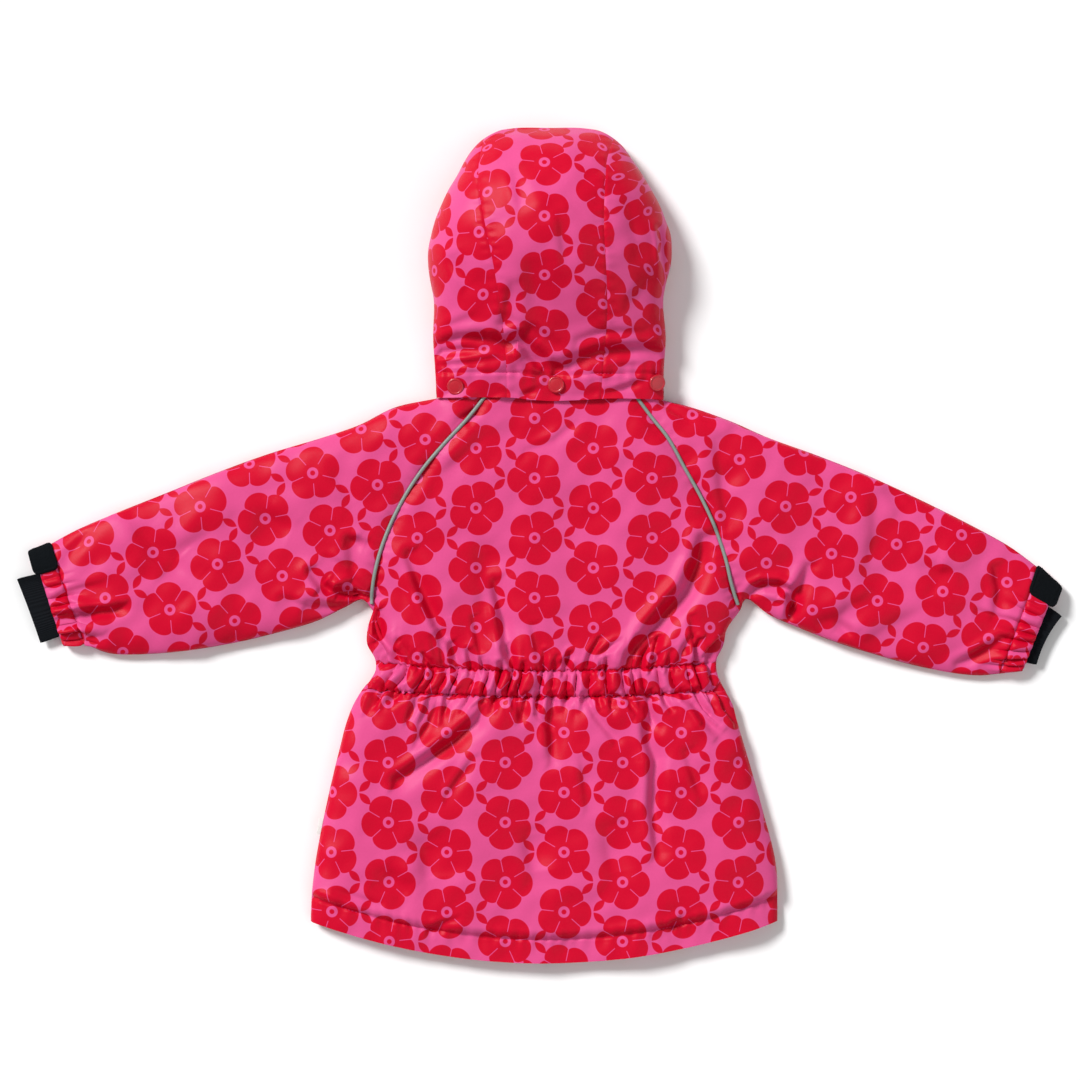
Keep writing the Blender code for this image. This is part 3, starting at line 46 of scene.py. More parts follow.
torso = {
    # y, x of the left side, x of the right side
    "sides": np.array([
        (-400.0, -207.0, 217.0), (-346.0, -210.5, 220.0), (-325.7, -209.8, 219.9), (-298.1, -207.0, 219.0),
        (-242.9, -196.9, 206.1), (-187.7, -184.0, 190.4), (-160.1, -176.6, 182.2), (-146.3, -171.1, 178.5),
        (-132.5, -162.8, 171.1), (-118.7, -151.8, 164.7), (-104.9, -150.9, 163.8), (-91.1, -158.2, 170.2),
        (-77.3, -158.2, 173.0), (-60.0, -153.0, 185.0),
    ]),
    # raglan seams from armpit to neck: x, y on the left, x, y on the right
    "raglan": np.array([
        (-153.0, -60.0, 185.0, -60.0), (-153.6, -46.9, 180.4, -46.9), (-152.7, -35.0, 177.0, -35.0),
        (-148.1, -12.0, 172.0, -13.0), (-138.9, 14.7, 163.3, 13.5), (-126.0, 41.4, 149.5, 44.0),
        (-107.4, 70.2, 134.5, 71.0), (-86.0, 95.6, 117.5, 101.0), (-66.2, 116.8, 103.0, 118.7),
        (-52.4, 134.3, 89.2, 137.1), (-47.5, 141.0, 86.0, 141.0),
    ]),
    # curved seams: y in the middle, rise to the sides, x of the middle, half width
    "hem": (-384.4, 38.5, 5.0, 213.0), "waistLow": (-139.0, 7.0, 7.0, 160.0),
    "waistHigh": (-115.0, 8.0, 7.0, 160.0),
    "hemBand": 22.0, "hemThinning": 0.74, "neckY": 141.0,
    # neckline of the fronts
    "neckline": np.array([
        (-93.8, 136.2), (-84.6, 129.7), (-75.4, 123.3), (-66.2, 116.8), (-30.0, 107.0), (3.0, 104.4),
        (17.0, 104.4), (60.0, 107.5), (103.0, 118.7), (107.0, 123.9), (111.0, 129.1), (115.0, 134.3),
    ]),
    "backNeck": np.array([(-93.8, 136.2), (-47.5, 141.0), (86.0, 141.0), (115.0, 134.3)]),
    "backRoll": 36.0, "frontRoll": 13.0, "backWall": 7.5, "frontWall": 7.0, "leastWall": 1.6,
    # x, y, top of the front, side seam, underside of the back, top of the back
    "levels": np.array([
        (15, 125, 9.0, 10.5, 12.0, 20.5), (-60, 60, 9.0, 10.5, 12.5, 24.0), (90, 60, 9.0, 10.5, 12.5, 24.5),
        (10, 10, 9.0, 10.5, 12.5, 22.5), (-130, -30, 9.0, 10.5, 12.5, 23.0),
        (150, -35, 9.0, 10.5, 12.5, 23.5),
        (-80, -75, 9.0, 10.5, 12.5, 24.5), (90, -75, 9.0, 10.5, 12.5, 25.0), (10, -80, 9.0, 10.5, 12.5, 23.5),
        (-100, -180, 9.0, 10.5, 12.5, 24.0), (110, -180, 9.0, 10.5, 12.5, 25.0),
        (10, -210, 9.0, 10.5, 12.5, 22.5),
        (-120, -280, 9.0, 10.5, 12.5, 24.5), (130, -280, 9.0, 10.5, 12.5, 25.5),
        (5, -310, 9.0, 10.5, 12.5, 22.0),
        (-170, 40, 8.5, 10.0, 12.0, 22.5), (190, 35, 8.5, 10.0, 12.0, 23.0), (-260, 0, 8.0, 9.5, 11.5, 21.5),
        (280, -10, 8.0, 9.5, 11.5, 22.0), (-350, -30, 7.5, 9.0, 11.0, 20.5), (365, -45, 7.5, 9.0, 11.0, 21.0),
        (-410, -45, 6.2, 8.3, 10.3, 19.0), (415, -65, 6.2, 8.3, 10.3, 19.0),
        (-455, -45, 4.6, 8.0, 11.4, 16.8),
        (460, -75, 4.6, 8.0, 11.4, 16.8),
    ], dtype=float),
}

sleeves = {
    # top edge x, y and bottom edge x, y, from the neck and armpit to the cuff seam
    "left": np.array([
        (-93.8, 136.2, -153.0, -60.0), (-132.5, 127.9, -163.0, -49.5), (-166.0, 111.5, -180.0, -57.0),
        (-201.5, 99.4, -206.0, -69.5), (-247.5, 85.6, -240.0, -79.5), (-293.5, 69.0, -277.0, -88.5),
        (-339.5, 50.6, -318.0, -95.5), (-385.5, 32.2, -358.0, -99.5), (-425.0, 15.5, -394.0, -99.3),
        (-451.3, 1.4, -418.9, -90.5),
    ]),
    "right": np.array([
        (115.0, 134.3, 185.0, -60.0), (143.5, 127.0, 192.3, -49.0), (178.0, 114.5, 212.5, -63.5),
        (212.5, 99.4, 240.0, -75.5), (258.5, 82.8, 272.0, -88.0), (304.5, 64.4, 305.0, -98.5),
        (350.5, 43.2, 342.0, -109.0), (396.5, 20.2, 378.0, -116.5), (433.3, 0.0, 404.0, -119.3),
        (460.9, -20.2, 424.6, -117.8),
    ]),
    "cuffEnd": {"left": np.array([-466.5, -4.5, -438.5, -92.5]),
                "right": np.array([477.0, -35.0, 446.0, -115.5])},
    "neckShareBack": 0.17, "neckShareFront": 0.15,
}

folds = {
    # depth, half width, points along the crease
    "body": [
        (7.0, 8.2, [(151, 6), (147, -15), (136, -40), (118, -60), (104, -77), (84, -103)]),
        (4.2, 6.5, [(-119, -8), (-106, -42), (-93, -71), (-82, -88), (-72, -107)]),
        (4.0, 6.0, [(-40, -34), (-34, -62), (-30, -90), (-28, -106)]),
        (2.2, 14.0, [(-52, -6), (-44, -34)]),
        (4.6, 5.5, [(-153, -64), (-146, -83), (-135, -95), (-124, -105)]),
        (3.4, 5.0, [(-150, -62), (-151, -84)]),
        (2.2, 12.0, [(-92, 60), (-50, 96)]),
        (5.0, 6.5, [(-43, -142), (-59, -162), (-75, -177), (-92, -189), (-130, -216)]),
        (3.4, 6.0, [(14, -146), (12, -160), (13, -196)]),
        (4.4, 6.5, [(95, -143), (99, -156), (101, -178), (107, -195), (105, -240), (110, -280)]),
        (3.6, 5.0, [(139, -137), (153, -160), (166, -173)]),
        (2.8, 12.0, [(-8, -266), (-3, -300)]),
        (2.6, 13.0, [(-104, -276), (-98, -306)]),
        (2.4, 10.0, [(-144, -302), (-120, -320)]),
        (2.2, 12.0, [(64, -262), (70, -300)]),
        (4.0, 5.0, [(-210, -23), (-200, -36), (-190, -42), (-176, -37), (-163, -47)]),
        (5.0, 4.5, [(-184, -42), (-172, -44), (-160, -50)]),
        (3.0, 6.0, [(-212, -52), (-196, -56), (-176, -56)]),
        (2.5, 5.0, [(-175, 6), (-161, 1)]),
        (2.6, 9.0, [(-172, 2), (-168, -30)]),
        (2.2, 11.0, [(-252, 24), (-228, 14)]),
        (2.2, 11.0, [(-377, 36), (-364, 14), (-338, -18), (-318, -34)]),
        (5.0, 5.0, [(-385, -57), (-395, -60), (-422, -62), (-450, -70)]),
        (2.6, 5.0, [(-404, -84), (-424, -82), (-446, -84)]),
        (4.6, 4.6, [(193, -48), (198, -40), (206, -36), (219, -36), (229, -41), (233, -53), (229, -68)]),
        (4.0, 6.0, [(248, -20), (241, -37), (235, -50), (231, -64)]),
        (3.0, 10.0, [(262, -72), (277, -67), (290, -56)]),
        (2.2, 12.0, [(300, -92), (332, -72), (356, -60)]),
        (2.4, 10.0, [(358, -22), (366, -28), (384, -26)]),
        (2.6, 10.0, [(166, 96), (171, 50), (176, 12)]),
        (2.4, 12.0, [(312, 44), (311, 10), (306, -18)]),
        (2.0, 9.0, [(324, 52), (334, 38)]),
        (2.6, 6.0, [(421, -20), (425, -40), (422, -58)]),
        (3.4, 5.5, [(386, -111), (398, -104), (412, -95), (428, -86)]),
        (2.2, 5.0, [(276, -72), (290, -82)]),
        (2.0, 13.0, [(-330, -6), (-300, 10)]),
    ],
    # shallow extra wrinkles
    "small": [
        (2.0, 3.5, [(54, -102), (62, -95), (72, -88)]),
        (2.2, 3.5, [(104, -106), (115, -97)]),
        (3.0, 4.0, [(152, -103), (168, -86)]),
        (1.8, 3.0, [(18, -110), (28, -101)]),
        (1.6, 4.0, [(-98, -84), (-92, -106)]),
        (1.4, 4.5, [(-6, -74), (2, -106)]),
        (1.6, 4.0, [(-60, -66), (-52, -106)]),
        (1.6, 4.0, [(140, -66), (146, -104)]),
        (2.4, 4.5, [(-92, -139), (-95, -151), (-102, -166), (-112, -180)]),
        (2.0, 3.5, [(-54, -143), (-63, -151)]),
        (2.4, 3.5, [(-132, -136), (-142, -146)]),
        (1.8, 3.5, [(-18, -140), (-18, -158)]),
        (1.8, 3.0, [(-2, -155), (9, -166)]),
        (2.0, 4.5, [(46, -142), (52, -155), (71, -178)]),
        (1.8, 3.0, [(68, -138), (81, -145)]),
        (1.6, 4.5, [(-60, -196), (-84, -230)]),
        (1.6, 6.0, [(136, -190), (150, -230)]),
        (1.4, 6.0, [(40, -196), (46, -240)]),
        (1.8, 4.0, [(-101, -354), (-92, -349), (-79, -344)]),
        (1.4, 4.0, [(120, -352), (134, -340)]),
        (1.2, 5.0, [(-186, -318), (-150, -330)]),
        (1.0, 4.5, [(-12, 87), (14, 97), (30, 110)]),
        (1.2, 4.0, [(-74, 117), (-57, 125)]),
        (1.8, 4.0, [(112, 133), (138, 119)]),
        (1.2, 5.0, [(-206, -60), (-236, -48)]),
        (1.2, 5.0, [(-176, -20), (-196, -12)]),
        (1.3, 6.0, [(206, -52), (226, -58)]),
        (1.4, 5.0, [(-405, -36), (-440, -44)]),
        (1.6, 4.0, [(404, -60), (440, -72)]),
        (1.4, 4.5, [(408, -112), (440, -104)]),
        (1.1, 8.0, [(-190, 74), (-170, 40)]),
        (1.2, 5.0, [(-420, 10), (-436, -8)]),
    ],
    # soft troughs in the flat underside
    "under": [
        (2.2, 7.0, [(-150, -62), (-128, -84), (-96, -98)]),
        (2.0, 6.0, [(-146, -70), (-140, -110), (-150, -150)]),
        (2.4, 7.0, [(182, -62), (156, -88), (122, -104)]),
        (1.8, 7.0, [(176, -84), (166, -130), (176, -170)]),
        (1.6, 9.0, [(-60, 40), (-88, -10), (-112, -44)]),
        (1.5, 9.0, [(80, 52), (112, 6), (140, -36)]),
        (1.8, 8.0, [(-120, -190), (-92, -240), (-84, -300)]),
        (1.6, 8.0, [(128, -200), (104, -262), (98, -330)]),
        (1.4, 9.0, [(-60, -140), (-52, -190), (-58, -236)]),
        (1.5, 9.0, [(66, -150), (70, -206), (62, -250)]),
        (2.2, 6.0, [(-196, -56), (-184, -20), (-190, 12)]),
        (1.8, 7.0, [(-250, -60), (-262, -20), (-256, 20)]),
        (1.6, 8.0, [(-350, -80), (-338, -36), (-346, 4)]),
        (2.0, 6.0, [(224, -58), (212, -20), (220, 16)]),
        (1.8, 7.0, [(286, -76), (300, -36), (292, 6)]),
        (1.5, 8.0, [(372, -96), (362, -50), (374, -10)]),
        (1.6, 5.0, [(-438, -30), (-412, -26), (-392, -34)]),
        (1.4, 5.0, [(-434, -60), (-410, -62), (-388, -70)]),
        (1.6, 5.0, [(446, -56), (420, -50), (398, -58)]),
        (1.5, 5.0, [(440, -84), (414, -84), (392, -92)]),
    ],
    "raglanValley": (3.0, 8.0), "waistValley": (4.0, 11.0),
    "waistGathers": 26, "waistGatherDepth": 3.9, "cuffGathers": 13, "cuffGatherDepth": 2.2,
}

# ---- curves

def smooth(keys, values, at):
    slopes = np.gradient(values, keys)
    index = np.clip(np.searchsorted(keys, at) - 1, 0, len(keys) - 2)
    width = keys[index + 1] - keys[index]
    t = np.clip((at - keys[index]) / width, 0.0, 1.0)
    return ((2 * t**3 - 3 * t**2 + 1) * values[index] + (t**3 - 2 * t**2 + t) * width * slopes[index]
            + (3 * t**2 - 2 * t**3) * values[index + 1] + (t**3 - t**2) * width * slopes[index + 1])


def arcLengths(points):
    return np.concatenate(([0.0], np.cumsum(np.linalg.norm(np.diff(points, axis=0), axis=1))))


def tangentsAlong(points):
    tangent = np.gradient(points, axis=0)
    return tangent / np.maximum(np.linalg.norm(tangent, axis=1)[:, None], 1e-6)


def along(points, fractions):
    reach = arcLengths(points)
    reach = reach / reach[-1]
    return np.stack([smooth(reach, points[:, k], fractions) for k in (0, 1)], axis=-1)


def ease(value):
    value = np.clip(value, 0.0, 1.0)
    return value * value * (3 - 2 * value)


def quarter(value):
    value = np.clip(value, 0.0, 1.0)
    return np.sqrt(np.maximum(0.0, 1 - (1 - value) ** 2))


def lerp(first, second, share):
    return first + (second - first) * share


def nearestOn(path, x, y):
    best = np.full(x.shape, 1e9)
    away, normal = np.zeros(x.shape + (2,)), np.zeros(x.shape + (2,))
    reached = np.zeros(x.shape)
    steps = np.diff(path, axis=0)
    lengths = np.linalg.norm(steps, axis=1)
    for point, step, length, start in zip(path[:-1], steps, lengths, arcLengths(path)):
        t = np.clip(((x - point[0]) * step[0] + (y - point[1]) * step[1]) / length**2, 0.0, 1.0)
        gapX = x - point[0] - t * step[0]
        gapY = y - point[1] - t * step[1]
        gap = np.hypot(gapX, gapY)
        closer = gap < best
        best = np.where(closer, gap, best)
        away[closer] = np.stack([gapX, gapY], axis=-1)[closer]
        normal[closer] = (-step[1] / length, step[0] / length)
        reached = np.where(closer, start + t * length, reached)
    return best, away, normal, reached


def bell(distance, width):
    return np.exp(-(distance / width) ** 2)


def softNoise(x, y, wavelength, seed):
    dice = np.random.default_rng(seed)
    total = np.zeros(np.broadcast(x, y).shape)
    for _ in range(10):
        angle, phase = dice.uniform(0, 2 * math.pi, 2)
        length = wavelength * dice.uniform(0.7, 1.5)
        total += np.sin(2 * math.pi * (x * math.cos(angle) + y * math.sin(angle)) / length + phase)
    return total / 3.2


# ---- outline and heights of the body

def sideAt(y, column):
    return smooth(torso["sides"][:, 0], torso["sides"][:, column], y)


sideColumn = {"left": 1, "right": 2}


def sideEdge(heights, column):
    return np.stack([sideAt(heights, column), heights], axis=-1)


def raglanPath(side):
    return torso["raglan"][:, 0:2] if side == "left" else torso["raglan"][:, 2:4]


def sleeveEdges(side):
    table, end = sleeves[side], sleeves["cuffEnd"][side]
    stations = np.linspace(0, len(table) - 1, 46)
    keys = np.arange(len(table), dtype=float)
    edges = []
    for first in (0, 2):
        line = np.stack([smooth(keys, table[:, first + k], stations) for k in (0, 1)], axis=-1)
        tip = end[first:first + 2]
        edges.append(np.concatenate((line, [tip, tip + (tip - line[-1]) * 3])))
    return edges


def foldedEdges():
    heights = np.linspace(-400.0, -60.0, 60)
    leftTop, leftBottom = sleeveEdges("left")
    rightTop, rightBottom = sleeveEdges("right")
    return [
        np.concatenate((sideEdge(heights, 2), rightBottom[1:])),
        np.concatenate((rightTop[::-1], [(112.0, 145.0), (112.0, 240.0)])),
        np.concatenate(([(-91.0, 240.0), (-91.0, 145.0)], leftTop)),
        np.concatenate((leftBottom[::-1], sideEdge(heights, 1)[::-1][1:])),
    ]


outline = foldedEdges()


def edgeDistance(x, y):
    best = np.full(x.shape, 1e9)
    inward = np.zeros(x.shape + (2,))
    for path in outline:
        gap, away, normal, _ = nearestOn(path, x, y)
        direction = np.where((gap < 2.0)[..., None], normal, away / np.maximum(gap, 1e-6)[..., None])
        closer = gap < best
        best = np.where(closer, gap, best)
        inward[closer] = direction[closer]
    return np.maximum(0.0, best - 0.5), inward


def creaseDepth(creases, x, y, ridge=0.0):
    depth = np.zeros(x.shape)
    for deep, halfWidth, points in creases:
        path = np.array(points, dtype=float)
        gap, away, _, reached = nearestOn(path, x, y)
        share = reached / arcLengths(path)[-1]
        taper = np.sqrt(np.clip(np.sin(math.pi * (0.08 + 0.84 * share)), 0.0, 1.0))
        if ridge:  # a valley below a low ridge, steep on its upper left side and gentle on the other
            side = np.tanh((0.76 * away[..., 0] - 0.65 * away[..., 1]) / (0.3 * halfWidth))
            depth += 1.3 * deep * taper * bell(gap, halfWidth * (1.02 + 0.38 * side))
            depth -= ridge * deep * taper * (1 - side) / 2 * bell(gap - 1.5 * halfWidth, 0.8 * halfWidth)
        else:
            depth += deep * taper * bell(gap, halfWidth)
    return depth


def seamLine(which, x):
    middle, rise, centre, half = torso[which]
    return middle + rise * ((x - centre) / half) ** 2


def seamEnd(which):
    return torso[which][0] + torso[which][1]


def levelsAt(x, y):
    # the table's four heights, weighed by how near its places are
    table, spread = torso["levels"], (-1,) + (1,) * x.ndim
    weights = np.stack([1.0 / (np.hypot(x - row[0], y - row[1]) ** 2 + 300.0) ** 1.5 for row in table])
    weights = weights / weights.sum(axis=0)
    levels = [(weights * table[:, column].reshape(spread)).sum(axis=0) for column in range(2, 6)]
    thinning = 1 - (1 - torso["hemThinning"]) * ease((seamLine("hem", x) + torso["hemBand"] + 9.0 - y) / 14.0)
    return [level * thinning for level in levels]


def waistGaps(x, y):
    return np.maximum(0.0, y - seamLine("waistHigh", x)), np.maximum(0.0, seamLine("waistLow", x) - y)


def seamDips(x, y):
    dip = np.zeros(x.shape)
    for side in ("left", "right"):
        gap = nearestOn(raglanPath(side), x, y)[0]
        dip += folds["raglanValley"][0] * bell(gap, folds["raglanValley"][1])
    over, under = waistGaps(x, y)
    onTorso = (x > -175) & (x < 190) & (y < -70)
    dip += np.where(onTorso, folds["waistValley"][0] * bell(over + under, folds["waistValley"][1]), 0.0)
    return dip


def gatherWave(phase):
    return 2 * np.abs(np.cos(math.pi * phase)) ** 0.65 - 1  # round ridges, sharp valleys


def seamFrill(x, seed=0):
    # the uneven little tucks that a stitched elastic makes along its seam
    broad = np.sin(2 * math.pi * (x / 6.4 + 0.35 * np.sin(x / 9.0 + seed)))
    return 0.6 * broad + 0.4 * np.sin(x / 1.7 + seed + np.sin(x / 5.0))


def waistWrinkles():
    # creases that fan out from the gathered waist, above and below
    dice = np.random.default_rng(14)
    made = []
    for index in range(2 * folds["waistGathers"]):
        x = lerp(-158.0, 174.0, (index // 2 + 0.5 + dice.uniform(-0.35, 0.35)) / folds["waistGathers"])
        sign = 1 if index % 2 else -1
        y = seamLine("waistHigh" if sign > 0 else "waistLow", x)
        length = float(dice.choice([8.0, 12.0, 17.0, 26.0])) * dice.uniform(0.8, 1.25)
        lean = (0.75 * (x - 7.0) / 160.0 + dice.uniform(-0.35, 0.35)) * length
        made.append((dice.uniform(1.6, 3.0), dice.uniform(2.6, 4.0),
                     [(x, y - sign * 2.0), (x + 0.4 * lean, y + sign * 0.5 * length),
                      (x + lean, y + sign * length)]))
    return made


def waistPhase(x, y):
    at = np.clip(y, -150.0, -104.0)
    left, right = sideAt(at, 1), sideAt(at, 2)
    share = (x - left) / (right - left)
    uneven = 0.22 * np.sin(2 * math.pi * 5.3 * share) + 0.12 * np.sin(2 * math.pi * 11.7 * share + 1.0)
    swell = 0.74 + 0.16 * np.sin(2 * math.pi * 3.1 * share + 0.6)
    swell = swell + 0.14 * np.sin(2 * math.pi * 8.3 * share + 2.0)
    return folds["waistGathers"] * share + uneven, swell


fannedWrinkles = waistWrinkles()


def bodyRelief(x, y):
    # what the cloth adds to the solid's form: soft padding, small wrinkles, puckers, gathers and stitch lines
    relief = 1.35 * softNoise(x, y, 78, 3) + 0.42 * softNoise(x, y, 29, 5)
    relief -= 1.4 * creaseDepth(folds["small"], x, y, 0.35)
    for side in ("left", "right"):
        gap, _, _, reached = nearestOn(raglanPath(side), x, y)
        pucker = np.sin(2 * math.pi * (reached / 8.5 + 0.35 * np.sin(reached / 13.0)))
        relief += 0.38 * pucker * bell(gap - 4.0, 5.0) - 1.3 * bell(gap, 1.5)
    over, under = waistGaps(x, y)
    onTorso = (x > -185) & (x < 200) & (y < -40)
    phase, swell = waistPhase(x, y)
    away = over + under
    drift = 0.14 * np.sin(x / 17.0) * away / 10.0
    reach = 9.0 + 7.0 * np.sin(x / 23.0 + 1.3) ** 2
    fade = np.exp(-(away / reach) ** 1.2) * ((over > 0) | (under > 0))
    gathered = 2.1 * fade * swell * gatherWave(phase + drift) + 1.4 * bell(away - 8.0, 5.0)
    gathered -= 1.5 * creaseDepth(fannedWrinkles, x, y, 0.35)
    seam = np.minimum(np.abs(y - seamLine("waistHigh", x)), np.abs(y - seamLine("waistLow", x)))
    gathered += 0.8 * seamFrill(x) * bell(seam - 2.5, 2.2) - 2.4 * bell(seam, 1.3)
    relief += np.where(onTorso, gathered, 0.0)
    fromStitch = y - seamLine("hem", x) - torso["hemBand"]
    ripple = np.sin(2 * math.pi * (x / 10.5 + 0.4 * np.sin(x / 19.0)))
    relief += np.where(y < -290, 0.5 * ripple * bell(fromStitch, 8.0)
                       - 2.6 * np.exp(-(np.abs(fromStitch) / 1.6) ** 1.4) + 0.9 * bell(fromStitch - 7, 5),
                       0.0)
    return relief


def backHeight(x, y):
    _, seam, _, top = levelsAt(x, y)
    rise = quarter(edgeDistance(x, y)[0] / torso["backRoll"])
    lowered = (1.25 * creaseDepth(folds["body"], x, y, 0.5) + seamDips(x, y)) * ease(rise * 1.4)
    return seam + (top - seam) * rise - np.minimum(lowered, 10.5), rise


def wallShare(x, y, neckPoints):
    share = np.ones(x.shape)
    for corner in neckPoints:
        share *= ease(np.hypot(x - corner[0], y - corner[1]) / 25.0)
    for corner in (torso["raglan"][0, 0:2], torso["raglan"][0, 2:4], sleeves["left"][0, 0:2],
                   sleeves["right"][0, 0:2]):
        share *= 0.3 + 0.7 * ease(np.hypot(x - corner[0], y - corner[1]) / 24.0)
    return share


def alongRows(x, y):
    stepX, stepY = np.gradient(x, axis=-1), np.gradient(y, axis=-1)
    length = np.maximum(np.hypot(stepX, stepY), 1e-6)
    sign = np.where(np.arange(x.shape[-1]) < x.shape[-1] / 2, 1.0, -1.0)
    return stepX / length * sign, stepY / length * sign


def movedOut(x, y, height, rise, out):
    # points moved out from the back, sideways where it rolls over at its edges
    inward = edgeDistance(x, y)[1]
    flat = np.sqrt(np.maximum(0.0, 1 - rise**2))
    return np.stack([x - inward[..., 0] * flat * out, y - inward[..., 1] * flat * out, height + rise * out],
                    axis=-1)


def backFaces(x, y, extra=0.0):
    lowTop, seam, under, _ = levelsAt(x, y)
    outerZ, rise = backHeight(x, y)
    innerZ = np.minimum(seam + (under - seam) * rise, outerZ - torso["leastWall"] * ease(rise * 3))
    flat = np.sqrt(np.maximum(0.0, 1 - rise**2))
    wall = torso["backWall"] * flat * (lowTop / torso["levels"][0, 2]) ** 1.3
    wall *= wallShare(x, y, (torso["raglan"][-1, 0:2], torso["raglan"][-1, 2:4]))
    towardX, towardY = alongRows(x, y)
    outer = movedOut(x, y, outerZ, rise, (bodyRelief(x, y) + extra) * ease(rise * 2.2 + 0.12))
    inner = np.stack([x + towardX * wall, y + towardY * wall,
                      np.minimum(innerZ, outer[..., 2] - 1.0 * ease(rise * 3))],
                     axis=-1)
    return outer, inner


def frontFaces(x, y, raised=0.0):
    lowTop, seam, _, _ = levelsAt(x, y)
    rise = quarter(edgeDistance(x, y)[0] / torso["frontRoll"])
    flat = np.sqrt(np.maximum(0.0, 1 - rise**2))
    wall = torso["frontWall"] * flat * (lowTop / torso["levels"][0, 2]) ** 1.3
    wall *= wallShare(x, y, (torso["raglan"][-3, 0:2], torso["raglan"][-3, 2:4]))
    towardX, towardY = alongRows(x, y)
    outerZ = seam * (1 - rise)
    for side in ("left", "right"):  # the raglan seam is a narrow groove in the flat underside
        gap = nearestOn(raglanPath(side), x, y)[0]
        outerZ = outerZ + 1.6 * bell(gap, 2.6) * rise
    outerZ = outerZ + (0.5 * np.maximum(0.0, softNoise(x, y, 46, 11)) + creaseDepth(folds["under"], x, y)
                       + raised) * rise
    outer = np.stack([x, y, outerZ], axis=-1)
    innerZ = lowTop + (seam - lowTop) * (1 - rise)
    return outer, np.stack([x + towardX * wall, y + towardY * wall, innerZ], axis=-1)


def keepToSeam(outer, inner, armpit, column):
    line, edge = outer[armpit:, column, :2], inner[armpit:, column, :2]
    moved = line + tangentsAlong(line) * np.linalg.norm(edge - line, axis=1)[:, None]
    moved[0] = (moved[0] + edge[0]) / 2
    inner[armpit:, column, :2] = moved


def onBack(x, y, amount):
    # points a little above the finished back
    height, rise = backHeight(x, y)
    return movedOut(x, y, height, rise, amount + bodyRelief(x, y) * ease(rise * 2.2 + 0.12))


# ---- materials

def link(tree, socket, value):
    if isinstance(value, (int, float, tuple)):
        socket.default_value = value
    else:
        tree.links.new(value, socket)


def maths(tree, operation, *values):
    node = tree.nodes.new("ShaderNodeMath")
    node.operation = operation
    for socket, value in zip(node.inputs, values):
        link(tree, socket, value)
    return node.outputs[0]


def newGroup(name, inputs, outputs):
    group = bpy.data.node_groups.new(name, "ShaderNodeTree")
    for label, kind, value in inputs:
        socket = group.interface.new_socket(label, in_out="INPUT", socket_type=kind)
        if value is not None:
            socket.default_value = value
    for label, kind in outputs:
        group.interface.new_socket(label, in_out="OUTPUT", socket_type=kind)
    return group, group.nodes.new("NodeGroupInput"), group.nodes.new("NodeGroupOutput")


printDesign = {
    "pitchAcross": 54.0, "pitchUp": 55.0, "petalReach": 25.4, "notch": 0.74, "lean": 0.42,
    "middle": 5.2, "dot": 2.3, "slit": 0.9, "leafLength": 7.4, "leafWidth": 3.4, "leafPlace": 30.6,
}


def flowerPrint():
    # a flower and two leaves in each cell, every other column dropped by half, leaning to alternate sides
    group, given, result = newGroup("flowerPrint", [("Cut", "NodeSocketVector", None)],
                                    [("Mask", "NodeSocketFloat")])
    d = printDesign
    m = lambda operation, *values: maths(group, operation, *values)
    split = group.nodes.new("ShaderNodeSeparateXYZ")
    group.links.new(given.outputs["Cut"], split.inputs[0])
    u, v = m("MULTIPLY", split.outputs[0], 1000.0), m("MULTIPLY", split.outputs[1], 1000.0)
    across = m("DIVIDE", u, d["pitchAcross"])
    column = m("FLOOR", across)
    odd = m("FLOORED_MODULO", column, 2.0)
    up = m("ADD", m("DIVIDE", v, d["pitchUp"]), m("MULTIPLY", odd, 0.5))
    row = m("FLOOR", up)
    x = m("MULTIPLY", m("SUBTRACT", m("SUBTRACT", across, column), 0.5), d["pitchAcross"])
    y = m("MULTIPLY", m("SUBTRACT", m("SUBTRACT", up, row), 0.5), d["pitchUp"])
    side = m("SUBTRACT", m("MULTIPLY", m("FLOORED_MODULO", m("ADD", row, odd), 2.0), 2.0), 1.0)
    angle = m("ADD", m("ARCTAN2", x, y), m("MULTIPLY", side, d["lean"]))
    reach = m("SQRT", m("ADD", m("MULTIPLY", x, x), m("MULTIPLY", y, y)))
    lobe = m("ABSOLUTE", m("COSINE", m("MULTIPLY", angle, 2.5)))
    petal = m("MULTIPLY", m("ADD", d["notch"], m("MULTIPLY", m("POWER", lobe, 0.5), 1 - d["notch"])),
              d["petalReach"])
    soft = lambda value: m("MINIMUM", m("MAXIMUM", m("ADD", m("MULTIPLY", value, 2.5), 0.5), 0.0), 1.0)
    flower = soft(m("SUBTRACT", petal, reach))
    slit = m("MULTIPLY", soft(m("SUBTRACT", d["slit"], m("MULTIPLY", reach, lobe))),
             soft(m("SUBTRACT", reach, 9.5)))
    ring = m("MULTIPLY", soft(m("SUBTRACT", d["middle"], reach)), soft(m("SUBTRACT", reach, d["dot"])))
    flower = m("MULTIPLY", flower, m("SUBTRACT", 1.0, m("MAXIMUM", ring, slit)))
    first = m("MULTIPLY", m("SUBTRACT", m("MULTIPLY", x, side), y), 0.7071)
    second = m("MULTIPLY", m("ADD", m("MULTIPLY", x, side), y), 0.7071)
    lengthwise = m("DIVIDE", m("SUBTRACT", m("ABSOLUTE", first), d["leafPlace"]), d["leafLength"])
    half = m("MULTIPLY", m("SUBTRACT", 1.0, m("MULTIPLY", lengthwise, lengthwise)), d["leafWidth"])
    leaf = soft(m("SUBTRACT", half, m("ABSOLUTE", second)))
    group.links.new(m("MAXIMUM", flower, leaf), result.inputs["Mask"])
    return group


